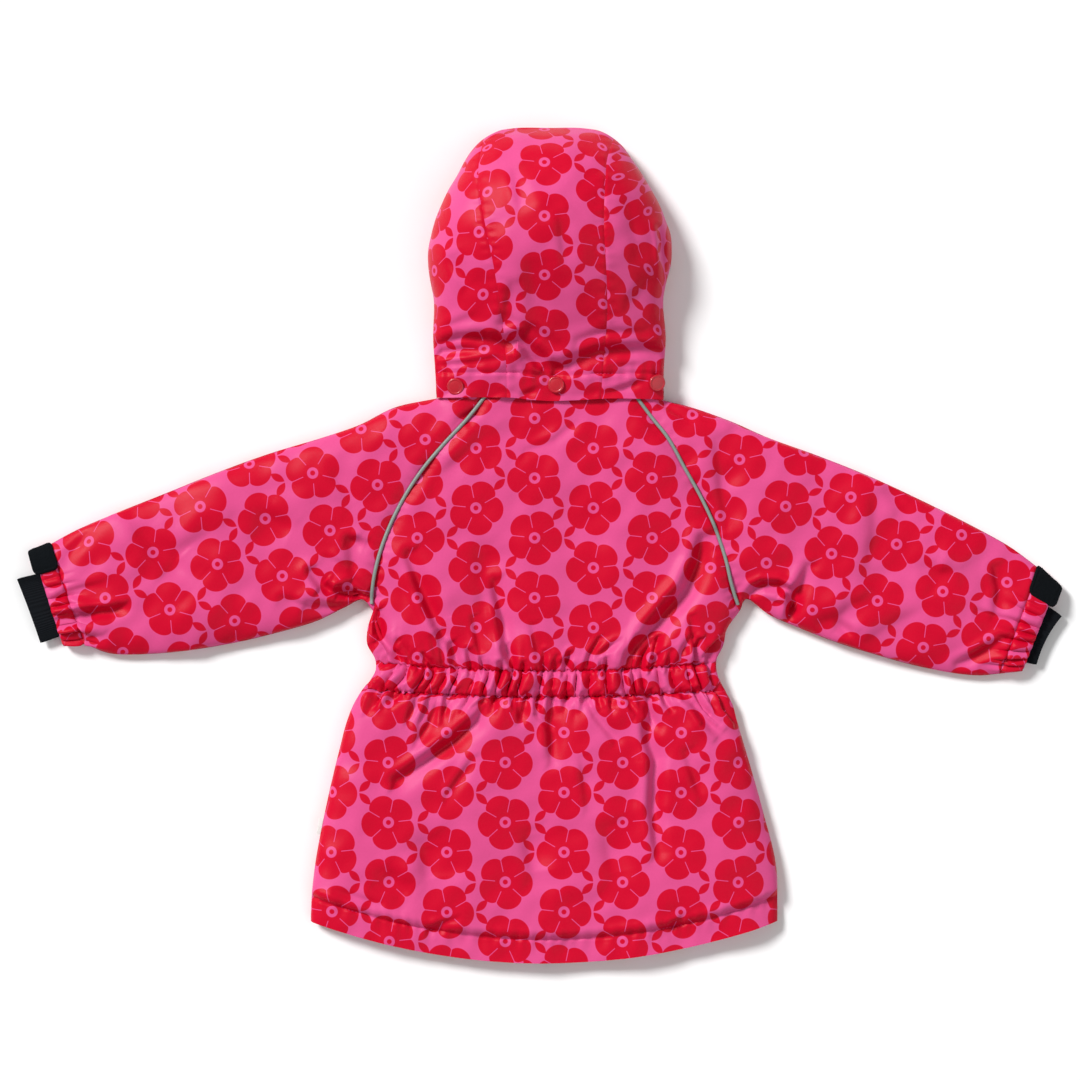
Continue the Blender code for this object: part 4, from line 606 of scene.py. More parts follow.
def wovenThreads():
    # over and under of fine threads along the cut's two directions, and a tone for the colour: painted shade,
    # darker where the threads sink, mixed half and half with random slub tone
    group, given, result = newGroup(
        "wovenThreads", [("Cut", "NodeSocketVector", None), ("Threads per mm", "NodeSocketFloat", 2.0)],
        [("Height", "NodeSocketFloat"), ("Tint", "NodeSocketFloat")])
    m = lambda operation, *values: maths(group, operation, *values)
    split = group.nodes.new("ShaderNodeSeparateXYZ")
    group.links.new(given.outputs["Cut"], split.inputs[0])
    rate = m("MULTIPLY", given.outputs["Threads per mm"], 1000.0 * math.pi)
    u, v = m("MULTIPLY", split.outputs[0], rate), m("MULTIPLY", split.outputs[1], rate)
    warp = m("MULTIPLY", m("ABSOLUTE", m("SINE", u)), m("ADD", 0.5, m("MULTIPLY", m("SINE", v), 0.5)))
    weft = m("MULTIPLY", m("ABSOLUTE", m("SINE", v)), m("SUBTRACT", 0.5, m("MULTIPLY", m("SINE", v), 0.5)))
    height = m("MAXIMUM", warp, weft)
    slub = group.nodes.new("ShaderNodeTexNoise")
    slub.inputs["Scale"].default_value = 420.0
    slub.inputs["Detail"].default_value = 3.0
    group.links.new(given.outputs["Cut"], slub.inputs["Vector"])
    # the second output is painted shade between the threads plus random slub tone
    group.links.new(height, result.inputs["Height"])
    group.links.new(m("ADD", m("MULTIPLY", height, 0.5), m("MULTIPLY", slub.outputs["Fac"], 0.5)),
                    result.inputs["Tint"])
    return group


groups = {"print": flowerPrint(), "weave": wovenThreads()}


def newFinish(name, roughness, metallic=0.0):
    finish = bpy.data.materials.new(name)
    finish.use_nodes = True
    tree = finish.node_tree
    shader = tree.nodes["Principled BSDF"]
    shader.inputs["Roughness"].default_value = roughness
    shader.inputs["Metallic"].default_value = metallic
    return finish, tree, shader


def placeGroup(tree, group, **given):
    node = tree.nodes.new("ShaderNodeGroup")
    node.node_tree = group
    for label, value in given.items():
        link(tree, node.inputs[label.replace("_", " ")], value)
    return node


def cutCoordinates(tree):
    node = tree.nodes.new("ShaderNodeUVMap")
    node.uv_map = "cut"
    return node.outputs["UV"]


def objectCoordinates(tree):
    return tree.nodes.new("ShaderNodeTexCoord").outputs["Object"]


def mixColour(tree, factor, first, second):
    node = tree.nodes.new("ShaderNodeMix")
    node.data_type = "RGBA"
    link(tree, node.inputs[0], factor)
    link(tree, node.inputs[6], first)
    link(tree, node.inputs[7], second)
    return node.outputs[2]


def noiseAt(tree, vector, scale, detail=2.0):
    node = tree.nodes.new("ShaderNodeTexNoise")
    node.inputs["Scale"].default_value = scale
    node.inputs["Detail"].default_value = detail
    tree.links.new(vector, node.inputs["Vector"])
    return node.outputs["Fac"]


def addBump(tree, shader, height, distance, strength=1.0):
    bump = tree.nodes.new("ShaderNodeBump")
    bump.inputs["Strength"].default_value = strength
    bump.inputs["Distance"].default_value = distance
    tree.links.new(height, bump.inputs["Height"])
    tree.links.new(bump.outputs["Normal"], shader.inputs["Normal"])


shellFinish = {
    # the darker pink and red go where the weave's threads sink (painted shade) and where the random slub is
    # low
    "pink": (0.715, 0.080, 0.258, 1.0), "pinkShadeAndSlub": (0.64, 0.066, 0.22, 1.0),
    "red": (0.60, 0.0020, 0.026, 1.0), "redShadeAndSlub": (0.53, 0.0014, 0.021, 1.0),
    "roughness": 0.35, "specular": 0.10, "threadsPerMm": 1.7,
}


def printedShell():
    finish, tree, shader = newFinish("printedShell", shellFinish["roughness"])
    cut = cutCoordinates(tree)
    mask = placeGroup(tree, groups["print"], Cut=cut).outputs["Mask"]
    weave = placeGroup(tree, groups["weave"], Cut=cut, Threads_per_mm=shellFinish["threadsPerMm"])
    # painted shade: the darker tones fill the low places between the threads, mixed with random slub tone
    pink = mixColour(tree, weave.outputs["Tint"], shellFinish["pinkShadeAndSlub"], shellFinish["pink"])
    red = mixColour(tree, weave.outputs["Tint"], shellFinish["redShadeAndSlub"], shellFinish["red"])
    tree.links.new(mixColour(tree, mask, pink, red), shader.inputs["Base Color"])
    shader.inputs["Specular IOR Level"].default_value = shellFinish["specular"]
    addBump(tree, shader, weave.outputs["Height"], 0.00006, 0.6)
    return finish


def wovenPlain(name, dark, light, roughness, threads, depth):
    finish, tree, shader = newFinish(name, roughness)
    shader.inputs["Specular IOR Level"].default_value = 0.15
    weave = placeGroup(tree, groups["weave"], Cut=cutCoordinates(tree), Threads_per_mm=threads)
    # painted shade: the dark colour goes between the threads, mixed with random slub tone
    tree.links.new(mixColour(tree, weave.outputs["Tint"], dark, light), shader.inputs["Base Color"])
    addBump(tree, shader, weave.outputs["Height"], depth)
    return finish


def reflectiveFinish():
    finish, tree, shader = newFinish("reflectiveGrey", 0.42)
    beads = tree.nodes.new("ShaderNodeTexVoronoi")
    beads.inputs["Scale"].default_value = 1800.0
    tree.links.new(objectCoordinates(tree), beads.inputs["Vector"])
    tree.links.new(mixColour(tree, beads.outputs["Distance"], (0.265, 0.31, 0.285, 1.0),
                             (0.18, 0.21, 0.195, 1.0)),
                   shader.inputs["Base Color"])
    addBump(tree, shader, beads.outputs["Distance"], 0.00012)
    return finish


def grainyFinish(name, dark, light, roughness, scale, depth, detail=2.0, metallic=0.0, specular=0.5,
                 coat=0.0):
    # fine noise between two tones, which also raises the surface a little
    finish, tree, shader = newFinish(name, roughness, metallic)
    grain = noiseAt(tree, objectCoordinates(tree), scale, detail)
    tree.links.new(mixColour(tree, grain, dark, light), shader.inputs["Base Color"])
    shader.inputs["Specular IOR Level"].default_value = specular
    shader.inputs["Coat Weight"].default_value = coat
    shader.inputs["Coat Roughness"].default_value = 0.12
    addBump(tree, shader, grain, depth)
    return finish


def mouldedFinish(name, colour, roughness, scale=500.0, shine=0.04):
    dark = tuple(c * 0.82 for c in colour[:3]) + (1.0,)
    return grainyFinish(name, dark, colour, roughness, scale, 0.00002, specular=0.22 + shine, coat=shine)


finishes = {
    "shell": printedShell(),
    "thread": mouldedFinish("pinkThread", (0.72, 0.045, 0.22, 1.0), 0.6, 3000.0),
    "rib": wovenPlain("blackRib", (0.0015, 0.0025, 0.004, 1.0), (0.006, 0.008, 0.011, 1.0), 0.9, 0.9, 0.0002),
    "pile": grainyFinish("blackPile", (0.001, 0.0018, 0.003, 1.0), (0.006, 0.008, 0.010, 1.0), 0.92, 2600.0,
                         0.0006,
                         detail=3.0, specular=0.1),
    "piping": reflectiveFinish(),
    "snap": mouldedFinish("redCap", (0.52, 0.0015, 0.018, 1.0), 0.34, shine=0.3),
    "tape": wovenPlain("redTape", (0.45, 0.004, 0.02, 1.0), (0.66, 0.008, 0.035, 1.0), 0.8, 1.1, 0.0002),
    "teeth": mouldedFinish("redTeeth", (0.66, 0.008, 0.035, 1.0), 0.34),
    "metal": grainyFinish("satinMetal", (0.42, 0.42, 0.43, 1.0), (0.62, 0.62, 0.63, 1.0), 0.32, 900.0,
                          0.00003,
                          detail=4.0, metallic=0.95),
    "ribbon": wovenPlain("whiteRibbon", (0.70, 0.69, 0.66, 1.0), (0.86, 0.85, 0.82, 1.0), 0.7, 1.6, 0.0001),
}
print("finishes made")

# ---- pieces

def toModel(points):
    return (points + (planShift[0], planShift[1], 0.0)) * metre


def keepPiece(name, shell, finish, node, sharp=60.0):
    mesh = bpy.data.meshes.new(name)
    shell.to_mesh(mesh)
    shell.free()
    piece = bpy.data.objects.new(name, mesh)
    bpy.context.scene.collection.objects.link(piece)
    mesh.materials.append(finishes[finish])
    mesh.shade_smooth()
    mesh.set_sharp_from_angle(angle=math.radians(sharp))
    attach(piece, "jacket")
    if node:
        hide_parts(node)
    return piece


def sewnPiece(name, outer, inner, cut, node, finish="shell", ring=False,
              behind=None):
    # a wall of cloth between two grids of points; cut holds each point's place on the flat cloth, in mm.
    # behind is the cut of the half past a column, where a seam breaks the print
    rows, columns = outer.shape[0] - 1, outer.shape[1] - 1
    outerM, innerM, flat = toModel(outer), toModel(inner), cut * metre
    shell = bmesh.new()
    layer = shell.loops.layers.uv.new("cut")
    bmesh.ops.create_grid(shell, x_segments=columns, y_segments=rows, size=1.0)
    spot = lambda vert: (round((vert.co.y + 1) / 2 * rows), round((vert.co.x + 1) / 2 * columns))
    fold, pastFold = (columns, flat) if behind is None else (behind[0], behind[1] * metre)
    for face in shell.faces:
        table = pastFold if min(spot(vert)[1] for vert in face.verts) >= fold else flat
        for loop in face.loops:
            loop[layer].uv = table[spot(loop.vert)]
    if ring:
        last = {round(v.co.y, 4): v for v in shell.verts if v.co.x > 0.9999}
        first = {round(v.co.y, 4): v for v in shell.verts if v.co.x < -0.9999}
        bmesh.ops.weld_verts(shell, targetmap={last[key]: first[key] for key in last})
    made = bmesh.ops.extrude_face_region(shell, geom=shell.faces[:])
    inside = {vert for vert in made["geom"] if isinstance(vert, bmesh.types.BMVert)}
    for vert in shell.verts:
        vert.co = (innerM if vert in inside else outerM)[spot(vert)]
    bmesh.ops.recalc_face_normals(shell, faces=shell.faces[:])
    if shell.calc_volume(signed=True) < 0:
        bmesh.ops.reverse_faces(shell, faces=shell.faces[:])
    piece = keepPiece(name, shell, finish, node)
    return piece


def rowLengths(points, middle):
    # arc length along each row, from the given column
    steps = np.linalg.norm(np.diff(points, axis=1), axis=2)
    reach = np.concatenate((np.zeros((len(points), 1)), np.cumsum(steps, axis=1)), axis=1)
    return reach - reach[:, middle][:, None]


def sleeveColumns(neckShare, neckSteps, seamSteps):
    turn = math.acos(1 - 2 * neckShare)
    angles = np.concatenate((np.linspace(0, turn, neckSteps + 1)[:-1],
                             np.linspace(turn, math.pi, seamSteps + 1)))
    return (1 - np.cos(angles)) / 2


backColumnsOfSleeve = sleeveColumns(sleeves["neckShareBack"], 18, 104)
frontColumnsOfSleeve = sleeveColumns(sleeves["neckShareFront"], 7, 30)


def raglanPoints(side, columns, neckShare, skipped=0):
    fractions = np.clip((columns[columns >= neckShare - 1e-6] - neckShare) / (1 - neckShare), 0.0, 1.0)
    return along(raglanPath(side)[::-1][skipped:], fractions)


bothSides = ("left", "right")
backSeam = {side: raglanPoints(side, backColumnsOfSleeve, sleeves["neckShareBack"]) for side in bothSides}
frontSeam = {side: raglanPoints(side, frontColumnsOfSleeve, sleeves["neckShareFront"], 2)
             for side in bothSides}


def closerAtEnds(count, share):
    # fractions from 0 to 1 whose steps shorten towards both ends
    even = np.linspace(0, 1, count + 1)
    return share * (1 - np.cos(even * math.pi)) / 2 + (1 - share) * even


def panelGrid(leftEdge, rightEdge, columns):
    share = columns[None, :, None]
    return leftEdge[:, None, :] * (1 - share) + rightEdge[:, None, :] * share


def bow(grid, columns, rowShares, lowRise, highRise):
    middle = 1 - (2 * columns[None, :] - 1) ** 2
    grid[:, :, 1] -= lerp(lowRise, highRise, rowShares)[:, None] * middle
    return grid


def broadForm(grid):
    # the panel's form without its folds, which the print's spacing follows
    _, seam, _, top = levelsAt(grid[..., 0], grid[..., 1])
    rise = quarter(edgeDistance(grid[..., 0], grid[..., 1])[0] / torso["backRoll"])
    return np.concatenate((grid, (seam + (top - seam) * rise)[..., None]), axis=-1)


def backCut(grid, cutY, start):
    middle = grid.shape[1] // 2
    across = rowLengths(broadForm(grid), middle) + grid[:, middle, 0][:, None]
    return np.stack([across, cutY], axis=-1) + start


def frillEdge(grid, row, reach, seed):
    # moves the points near one edge of a grid a little up and down along it
    away = np.abs(grid[..., 1] - grid[row, :, 1][None, :])
    grid[..., 1] += 1.35 * seamFrill(grid[..., 0], seed) * bell(away, reach)


upperBack = {"columns": 272, "sideRows": 36, "printStart": (31.0, 20.0)}


def makeUpperBack():
    low = seamEnd("waistHigh")
    below = np.linspace(low, -62.0, upperBack["sideRows"])
    edges = []
    for side in ("left", "right"):
        seam = backSeam[side][::-1].copy()
        seam[-1, 1] = torso["neckY"]
        edges.append(np.concatenate((sideEdge(below, sideColumn[side]), seam)))
    columns = closerAtEnds(upperBack["columns"], 0.35)
    shares = (edges[0][:, 1] - low) / (torso["neckY"] - low)
    grid = bow(panelGrid(edges[0], edges[1], columns), columns, shares, torso["waistHigh"][1], 0.0)
    cutY = grid[..., 1].copy()
    frillEdge(grid, 0, 3.5, 0)
    outer, inner = backFaces(grid[..., 0], grid[..., 1])
    for column in (0, -1):
        keepToSeam(outer, inner, len(below), column)
    sewnPiece("upperBack", outer, inner, backCut(grid, cutY, upperBack["printStart"]), "back_bodice")


waistBand = {"columns": 416, "rows": 22, "fullness": 1.35, "printStart": (12.0, 8.0)}


def makeWaistBand():
    heights = np.linspace(seamEnd("waistLow"), seamEnd("waistHigh"), waistBand["rows"] + 1)
    shares = np.linspace(0, 1, waistBand["columns"] + 1)
    up = np.linspace(0, 1, waistBand["rows"] + 1)
    grid = panelGrid(sideEdge(heights, 1), sideEdge(heights, 2), shares)
    grid = bow(grid, shares, up, torso["waistLow"][1], torso["waistHigh"][1])
    across = rowLengths(grid, waistBand["columns"] // 2)
    cut = np.stack([across * waistBand["fullness"], grid[..., 1]], axis=-1) + waistBand["printStart"]
    frillEdge(grid, 0, 3.0, 2)
    frillEdge(grid, -1, 3.0, 0)
    phase, swell = waistPhase(grid[..., 0], grid[..., 1])
    lift = 0.7 + 0.5 * np.sin(math.pi * up)[:, None]
    distance = edgeDistance(grid[..., 0], grid[..., 1])[0]
    phase = phase + 0.10 * np.sin(grid[..., 0] / 9.0) * (up[:, None] - 0.5)
    extra = ease(distance / 12.0) * lift * folds["waistGatherDepth"] * swell * gatherWave(phase)
    extra += 1.1 * np.sin(math.pi * up)[:, None] ** 0.6  # the elastic stands a little proud between its seams
    outer, inner = backFaces(grid[..., 0], grid[..., 1], extra)
    inner[..., 2] = np.minimum(inner[..., 2], outer[..., 2] - 1.2 * ease(distance / 12.0))
    sewnPiece("waistBand", outer, inner, cut, "waist_casing")


lowerBack = {"columns": 272, "rows": 160, "printStart": (4.0, 34.0)}


def makeLowerBack():
    drop = np.linspace(0, 1, lowerBack["rows"] + 1)
    heights = lerp(seamEnd("hem"), seamEnd("waistLow"), drop)
    columns = closerAtEnds(lowerBack["columns"], 0.35)
    grid = panelGrid(sideEdge(heights, 1), sideEdge(heights, 2), columns)
    grid = bow(grid, columns, drop, torso["hem"][1], torso["waistLow"][1])
    cutY = grid[..., 1].copy()
    frillEdge(grid, -1, 3.5, 2)
    outer, inner = backFaces(grid[..., 0], grid[..., 1])
    sewnPiece("lowerBack", outer, inner, backCut(grid, cutY, lowerBack["printStart"]), "back_skirt")


fronts = {"rows": 90, "across": 60, "zipX": 10.0, "zipOpening": 6.5, "zipRecess": 6.0,
          "printStart": (17.0, 2.0)}


def makeFront(side):
    sign = 1 if side == "left" else -1
    low = seamEnd("hem") + 1.5
    below = np.linspace(low, -63.0, fronts["rows"])
    seam = frontSeam[side][::-1].copy()
    edge = np.concatenate((sideEdge(below, sideColumn[side]), seam))
    neckY = edge[-1, 1] - 0.3
    edge[-1, 1] = neckY
    shares = (edge[:, 1] - low) / (neckY - low)
    zipEdge = fronts["zipX"] - sign * fronts["zipOpening"]
    hemY, collarY = torso["hem"][0] + 1.8, torso["neckline"][3, 1] - 0.3
    centre = np.stack([np.full(shares.shape, zipEdge), lerp(hemY, collarY, shares)], axis=-1)
    across = closerAtEnds(fronts["across"], 0.5)
    grid = panelGrid(edge, centre, across)
    straight = grid[..., 1].copy()
    hem = lerp(low, hemY, across) - (low - hemY) * (across - across**2)
    neck = smooth(torso["neckline"][:, 0], torso["neckline"][:, 1], grid[-1, :, 0])
    grid[..., 1] += lerp((hem - straight[0])[None, :], (neck - straight[-1])[None, :], shares[:, None])
    outer, inner = frontFaces(grid[..., 0], grid[..., 1])
    keepToSeam(outer, inner, len(below), 0)
    inner[..., :2] = np.where((grid[..., 0:1] - fronts["zipX"]) * sign > -60, grid, inner[..., :2])
    fromZip = np.abs(grid[..., 0] - fronts["zipX"]) - fronts["zipOpening"]
    raised = 1 - ease(fromZip / 16.0)
    outer[..., 2] = np.maximum(outer[..., 2], raised * (inner[..., 2] - 2.8).clip(0, fronts["zipRecess"]))
    outer[..., 2] += 0.7 * bell(fromZip - 19.0, 1.5)  # topstitched fold beside the zip
    stitchY = seamLine("hem", grid[..., 0]) + torso["hemBand"]
    outer[..., 2] += 0.8 * bell(grid[..., 1] - stitchY, 1.6)
    sewnPiece("front" + side.capitalize(), outer, inner, grid + fronts["printStart"], "front_" + side)


def sleeveRings(side, stations, columns, seam, neckShare):
    table = sleeves[side]
    keys = np.arange(len(table), dtype=float)
    top = np.stack([smooth(keys, table[:, k], stations) for k in (0, 1)], axis=-1)
    bottom = np.stack([smooth(keys, table[:, k], stations) for k in (2, 3)], axis=-1)
    straight = panelGrid(top, bottom, columns)
    neck = columns[columns < neckShare - 1e-6] / neckShare
    ring = np.concatenate((lerp(top[0], seam[0], neck[:, None]), seam))
    ring[0] = top[0]
    fade = np.clip(1 - stations / 2.8, 0.0, 1.0)[:, None] ** 1.4
    atNeck = ease((neckShare - columns) / neckShare)[None, :] * np.clip(stations, 0.0, 1.0)[:, None]
    return straight + (fade * (1 - atNeck))[..., None] * (ring - straight[0])[None, :, :]


def closeTube(upper, lower):
    outer = np.concatenate((upper[0], lower[0][:, 1:]), axis=1)
    inner = np.concatenate((upper[1], lower[1][:, 1:]), axis=1)
    inner[:, 0] = inner[:, -1] = (upper[1][:, 0] + lower[1][:, -1]) / 2
    outer[:, 0] = outer[:, -1] = (upper[0][:, 0] + lower[0][:, -1]) / 2
    fold = upper[0].shape[1] - 1
    inner[:, fold] = (upper[1][:, -1] + lower[1][:, 0]) / 2
    return outer, inner


sleeveCloth = {
    "stations": 180, "cuffSeam": 9.0, "gatherReach": 0.85,
    "axis": {"left": (-1.0, -0.30), "right": (1.0, -0.34)},
    "printStart": {"left": (9.0, 14.0), "right": (40.0, 30.0)},
}


def cuffWave(columns, amount):
    # ridges where the elastic draws the sleeve's end in, strongest towards the lower edge
    turn = 0.5 * np.arccos(1 - 2 * columns) / math.pi + 0.5 * columns
    phase = folds["cuffGathers"] * turn + 0.12 * np.sin(columns * 21.0)
    strength = ease((columns - 0.22) / 0.25) * ease((1 - columns) / 0.05)
    return amount * strength * gatherWave(phase)


def makeSleeve(side):
    share = np.linspace(0, 1, sleeveCloth["stations"] + 1)
    stations = sleeveCloth["cuffSeam"] * (0.85 * share + 0.15 * share**2)
    upper = sleeveRings(side, stations, backColumnsOfSleeve, backSeam[side], sleeves["neckShareBack"])
    lower = sleeveRings(side, stations, frontColumnsOfSleeve, frontSeam[side], sleeves["neckShareFront"])
    lower = lower[:, ::-1]
    lower[:, 0] = upper[:, -1]
    toCuff = sleeveCloth["cuffSeam"] - stations
    nearCuff = ease(1 - toCuff / sleeveCloth["gatherReach"])[:, None]
    seamDip = 2.2 * bell(toCuff, 0.07)[:, None]
    extra = nearCuff * cuffWave(backColumnsOfSleeve, 2.0)[None, :] - seamDip
    outer, inner = closeTube(backFaces(upper[..., 0], upper[..., 1], extra),
                             frontFaces(lower[..., 0], lower[..., 1]))
    middle = len(backColumnsOfSleeve) // 2
    axis = np.array(sleeveCloth["axis"][side]) / np.linalg.norm(sleeveCloth["axis"][side])
    plain = np.concatenate((broadForm(upper), outer[:, upper.shape[1]:]), axis=1)
    across = plain[..., :2] @ np.array([-axis[1], axis[0]])
    sign = 1 if side == "left" else -1
    around = across[:, middle][:, None] + sign * rowLengths(np.stack([across, plain[..., 2]], axis=-1),
                                                            middle)
    cut = np.stack([plain[..., :2] @ axis, around], axis=-1) + sleeveCloth["printStart"][side]
    under = np.stack([cut[..., 0], -across], axis=-1)
    sewnPiece("sleeve" + side.capitalize(), outer, inner, cut, "sleeve_" + side, ring=True,
              behind=(upper.shape[1] - 1, under))


def cuffEdges(side, shares):
    # upper and lower edge, from the cuff seam at 0 to the sleeve's end at 1
    seam, end = sleeves[side][-1], sleeves["cuffEnd"][side]
    return [lerp(seam[k:k + 2], end[k:k + 2], shares[..., None]) for k in (0, 2)]


cuffBand = {"rows": 14, "columns": 156, "fullness": 1.25, "printStart": (30.0, 6.0)}


def makeCuffBand(side):
    shares = np.linspace(0.0, 1.0, cuffBand["rows"] + 1)
    columns = closerAtEnds(cuffBand["columns"], 0.5)
    fewer = columns[::3]
    edges = cuffEdges(side, shares)
    upper, lower = panelGrid(*edges, columns), panelGrid(*edges, fewer[::-1])
    swell = (0.55 + 0.45 * np.sin(math.pi * np.clip(shares * 0.9 + 0.1, 0, 1)))[:, None]
    roll = -1.6 * bell(1 - shares, 0.08)[:, None] - 1.5 * bell(shares, 0.08)[:, None]
    extra = swell * cuffWave(columns, 1.3 * folds["cuffGatherDepth"])[None, :] + roll
    upOuter, upInner = backFaces(upper[..., 0], upper[..., 1], extra)
    upInner[..., 2] = np.minimum(upInner[..., 2], upOuter[..., 2] - 1.2)
    gathered = 0.8 * swell * (1 - cuffWave(fewer[::-1], 1.0))[None, :]
    outer, inner = closeTube((upOuter, upInner), frontFaces(lower[..., 0], lower[..., 1], gathered))
    around = rowLengths(outer, len(columns) // 2)
    reach = arcLengths(outer[:, len(columns) // 2])
    cut = np.stack([np.broadcast_to(reach[:, None], around.shape), around * cuffBand["fullness"]], axis=-1)
    sewnPiece("cuffBand" + side.capitalize(), outer, inner, cut + cuffBand["printStart"],
              "cuff_casing_" + side, ring=True)


ribCuff = {
    "left": ((-481.8, -30.1), (-459.8, -89.8)), "right": ((482.7, -64.4), (459.0, -109.8)),
    "shares": (0.24, 0.86), "z": (5.6, 10.4), "wall": 1.5, "ribs": 74, "ribDepth": 0.28, "rows": 9,
    "hollow": {"left": 0.6, "right": 3.0},
}


def makeRibCuff(side):
    c = ribCuff
    seamTop, seamBottom = panelGrid(*cuffEdges(side, np.array([0.25])), np.array(c["shares"]))[0]
    endTop, endBottom = (np.array(p) for p in c[side])
    turn = np.linspace(0, 2 * math.pi, c["ribs"] * 6 + 1)
    middleZ, halfZ = (c["z"][0] + c["z"][1]) / 2, (c["z"][1] - c["z"][0]) / 2
    ribs = c["ribDepth"] * np.cos(turn * c["ribs"])
    faces = []
    for inset in (0.0, c["wall"]):
        rows = []
        for share in np.linspace(0, 1, c["rows"] + 1):
            top, bottom = lerp(seamTop, endTop, share), lerp(seamBottom, endBottom, share)
            length = np.linalg.norm(bottom - top)
            axis = (bottom - top) / length
            inwardAxis = np.array([axis[1], -axis[0]])
            inwardAxis = inwardAxis * (1 if (seamTop - endTop) @ inwardAxis > 0 else -1)
            rim = 0.5 * bell(1 - share, 0.05)
            grow = (0.0 if inset else 1.0) * (ribs - c["ribDepth"] - rim)
            across = (length / 2 - inset + grow) * np.sign(np.cos(turn)) * np.abs(np.cos(turn)) ** 0.75
            height = (halfZ - inset + grow) * np.sign(np.sin(turn)) * np.abs(np.sin(turn)) ** 0.6
            sag = 0.35 * math.sin(share * 5.0 + 0.6)
            hollow = c["hollow"][side] * share**2 * (1 - (2 * across / length) ** 2)
            plan = (top + bottom) / 2 + across[:, None] * axis + hollow[:, None] * inwardAxis
            rows.append(np.concatenate((plan, (middleZ + height + sag)[:, None]), axis=1))
        faces.append(np.array(rows))
    outer, inner = faces
    reach = np.linspace(0, np.linalg.norm(endTop - seamTop), c["rows"] + 1)
    around = rowLengths(outer, 0)
    cut = np.stack([around, np.broadcast_to(reach[:, None], around.shape)], axis=-1)
    sewnPiece("ribCuff" + side.capitalize(), outer, inner, cut, "inner_cuff_" + side, "rib",
              ring=True)


cuffTab = {
    "size": (27.0, 32.0), "corner": 5.5, "along": 44, "across": 50, "thickness": 2.0, "clear": 0.5,
    "start": -0.12, "reach": 1.42, "down": 0.25,
}


def roundedTab(side, reachU, reachV):
    # places on the sleeve for a rectangle whose corners are drawn in to arcs
    r, (long, wide) = cuffTab["corner"], cuffTab["size"]
    p = np.maximum(r - np.minimum(reachU, long - reachU), 0.0)
    q = np.maximum(r - np.minimum(reachV, wide - reachV), 0.0)
    inCorner = (p > 0) & (q > 0)
    drawnIn = np.where(inCorner, 1 - np.maximum(p, q) / np.maximum(np.hypot(p, q), 1e-9), 0.0)
    u = reachU + np.sign(long / 2 - reachU) * p * drawnIn
    v = reachV + np.sign(wide / 2 - reachV) * q * drawnIn
    top, bottom = cuffEdges(side, cuffTab["start"] + cuffTab["reach"] * u / long)
    return lerp(top, bottom, cuffTab["down"] * (v[..., None] / wide) ** 1.5)


def makeCuffTab(side):
    long, wide = cuffTab["size"]
    reachU, reachV = np.meshgrid(np.linspace(0, long, cuffTab["along"] + 1),
                                 np.linspace(0, wide, cuffTab["across"] + 1),
                                 indexing="ij")
    rows = roundedTab(side, reachU, reachV)
    x, y = rows[..., 0], rows[..., 1]
    fromRim = np.minimum(np.minimum(reachU, long - reachU), np.minimum(reachV, wide - reachV))
    pile = 0.16 * np.random.default_rng(8).standard_normal(x.shape)
    stitched = -0.55 * bell(fromRim - 2.6, 0.8) - 0.7 * bell(fromRim, 0.6)
    height, rise = backHeight(x, y)
    outer = movedOut(x, y, height, rise, cuffTab["clear"] + cuffTab["thickness"] + pile + stitched)
    inner = movedOut(x, y, height, rise, cuffTab["clear"] * 0.4)
    cut = np.stack([reachU, reachV], axis=-1)
    sewnPiece("cuffTab" + side.capitalize(), outer, inner, cut, "cuff_tab_" + side, "pile")


def tubeAlong(name, points, radius, finish, node, sides=10):
    # a round cord of cloth through the points, closed at both ends
    shell = bmesh.new()
    path = toModel(points)
    tangents = np.gradient(path, axis=0)
    rings = []
    for place, tangent in zip(path, tangents):
        turn = Vector(tangent).to_track_quat("Z", "Y").to_matrix().to_4x4()
        made = bmesh.ops.create_circle(shell, cap_ends=False, segments=sides, radius=radius * metre,
                                       matrix=Matrix.Translation(Vector(place)) @ turn)
        rings.append(made["verts"])
    for first, second in zip(rings, rings[1:]):
        edges = [e for ring in (first, second) for e in {e for v in ring for e in v.link_edges}
                 if e.verts[0] in ring and e.verts[1] in ring]
        bmesh.ops.bridge_loops(shell, edges=list(dict.fromkeys(edges)))
    bmesh.ops.holes_fill(shell, edges=[e for e in shell.edges if e.is_boundary], sides=sides)
    bmesh.ops.recalc_face_normals(shell, faces=shell.faces[:])
    keepPiece(name, shell, finish, node)


piping = {"radius": 1.7, "seat": 0.8, "points": 96}


def makePiping(side):
    path = along(raglanPath(side)[::-1], np.linspace(0.0, 0.97, piping["points"]))
    points = movedOut(path[:, 0], path[:, 1], *backHeight(path[:, 0], path[:, 1]), piping["seat"])
    tubeAlong("piping" + side.capitalize(), points, piping["radius"], "piping", "piping_" + side)


def stitchRow(name, points, stitch=2.4, gap=1.1, radius=0.26):
    # short rounded stitches that lie along the points
    reach = arcLengths(points)
    shell = bmesh.new()
    for start in np.arange(0.5, reach[-1] - stitch, stitch + gap):
        a = np.array([np.interp(start, reach, points[:, k]) for k in range(3)])
        b = np.array([np.interp(start + stitch, reach, points[:, k]) for k in range(3)])
        turn = Vector(b - a).to_track_quat("Z", "Y").to_matrix().to_4x4()
        size = Matrix.Diagonal((radius, radius, stitch / 2, 1.0)) * metre
        size[3][3] = 1.0
        place = Matrix.Translation(Vector(toModel((a + b) / 2)))
        bmesh.ops.create_uvsphere(shell, u_segments=6, v_segments=4, radius=1.0, matrix=place @ turn @ size)
    keepPiece(name, shell, "thread", None)


# ---- hood

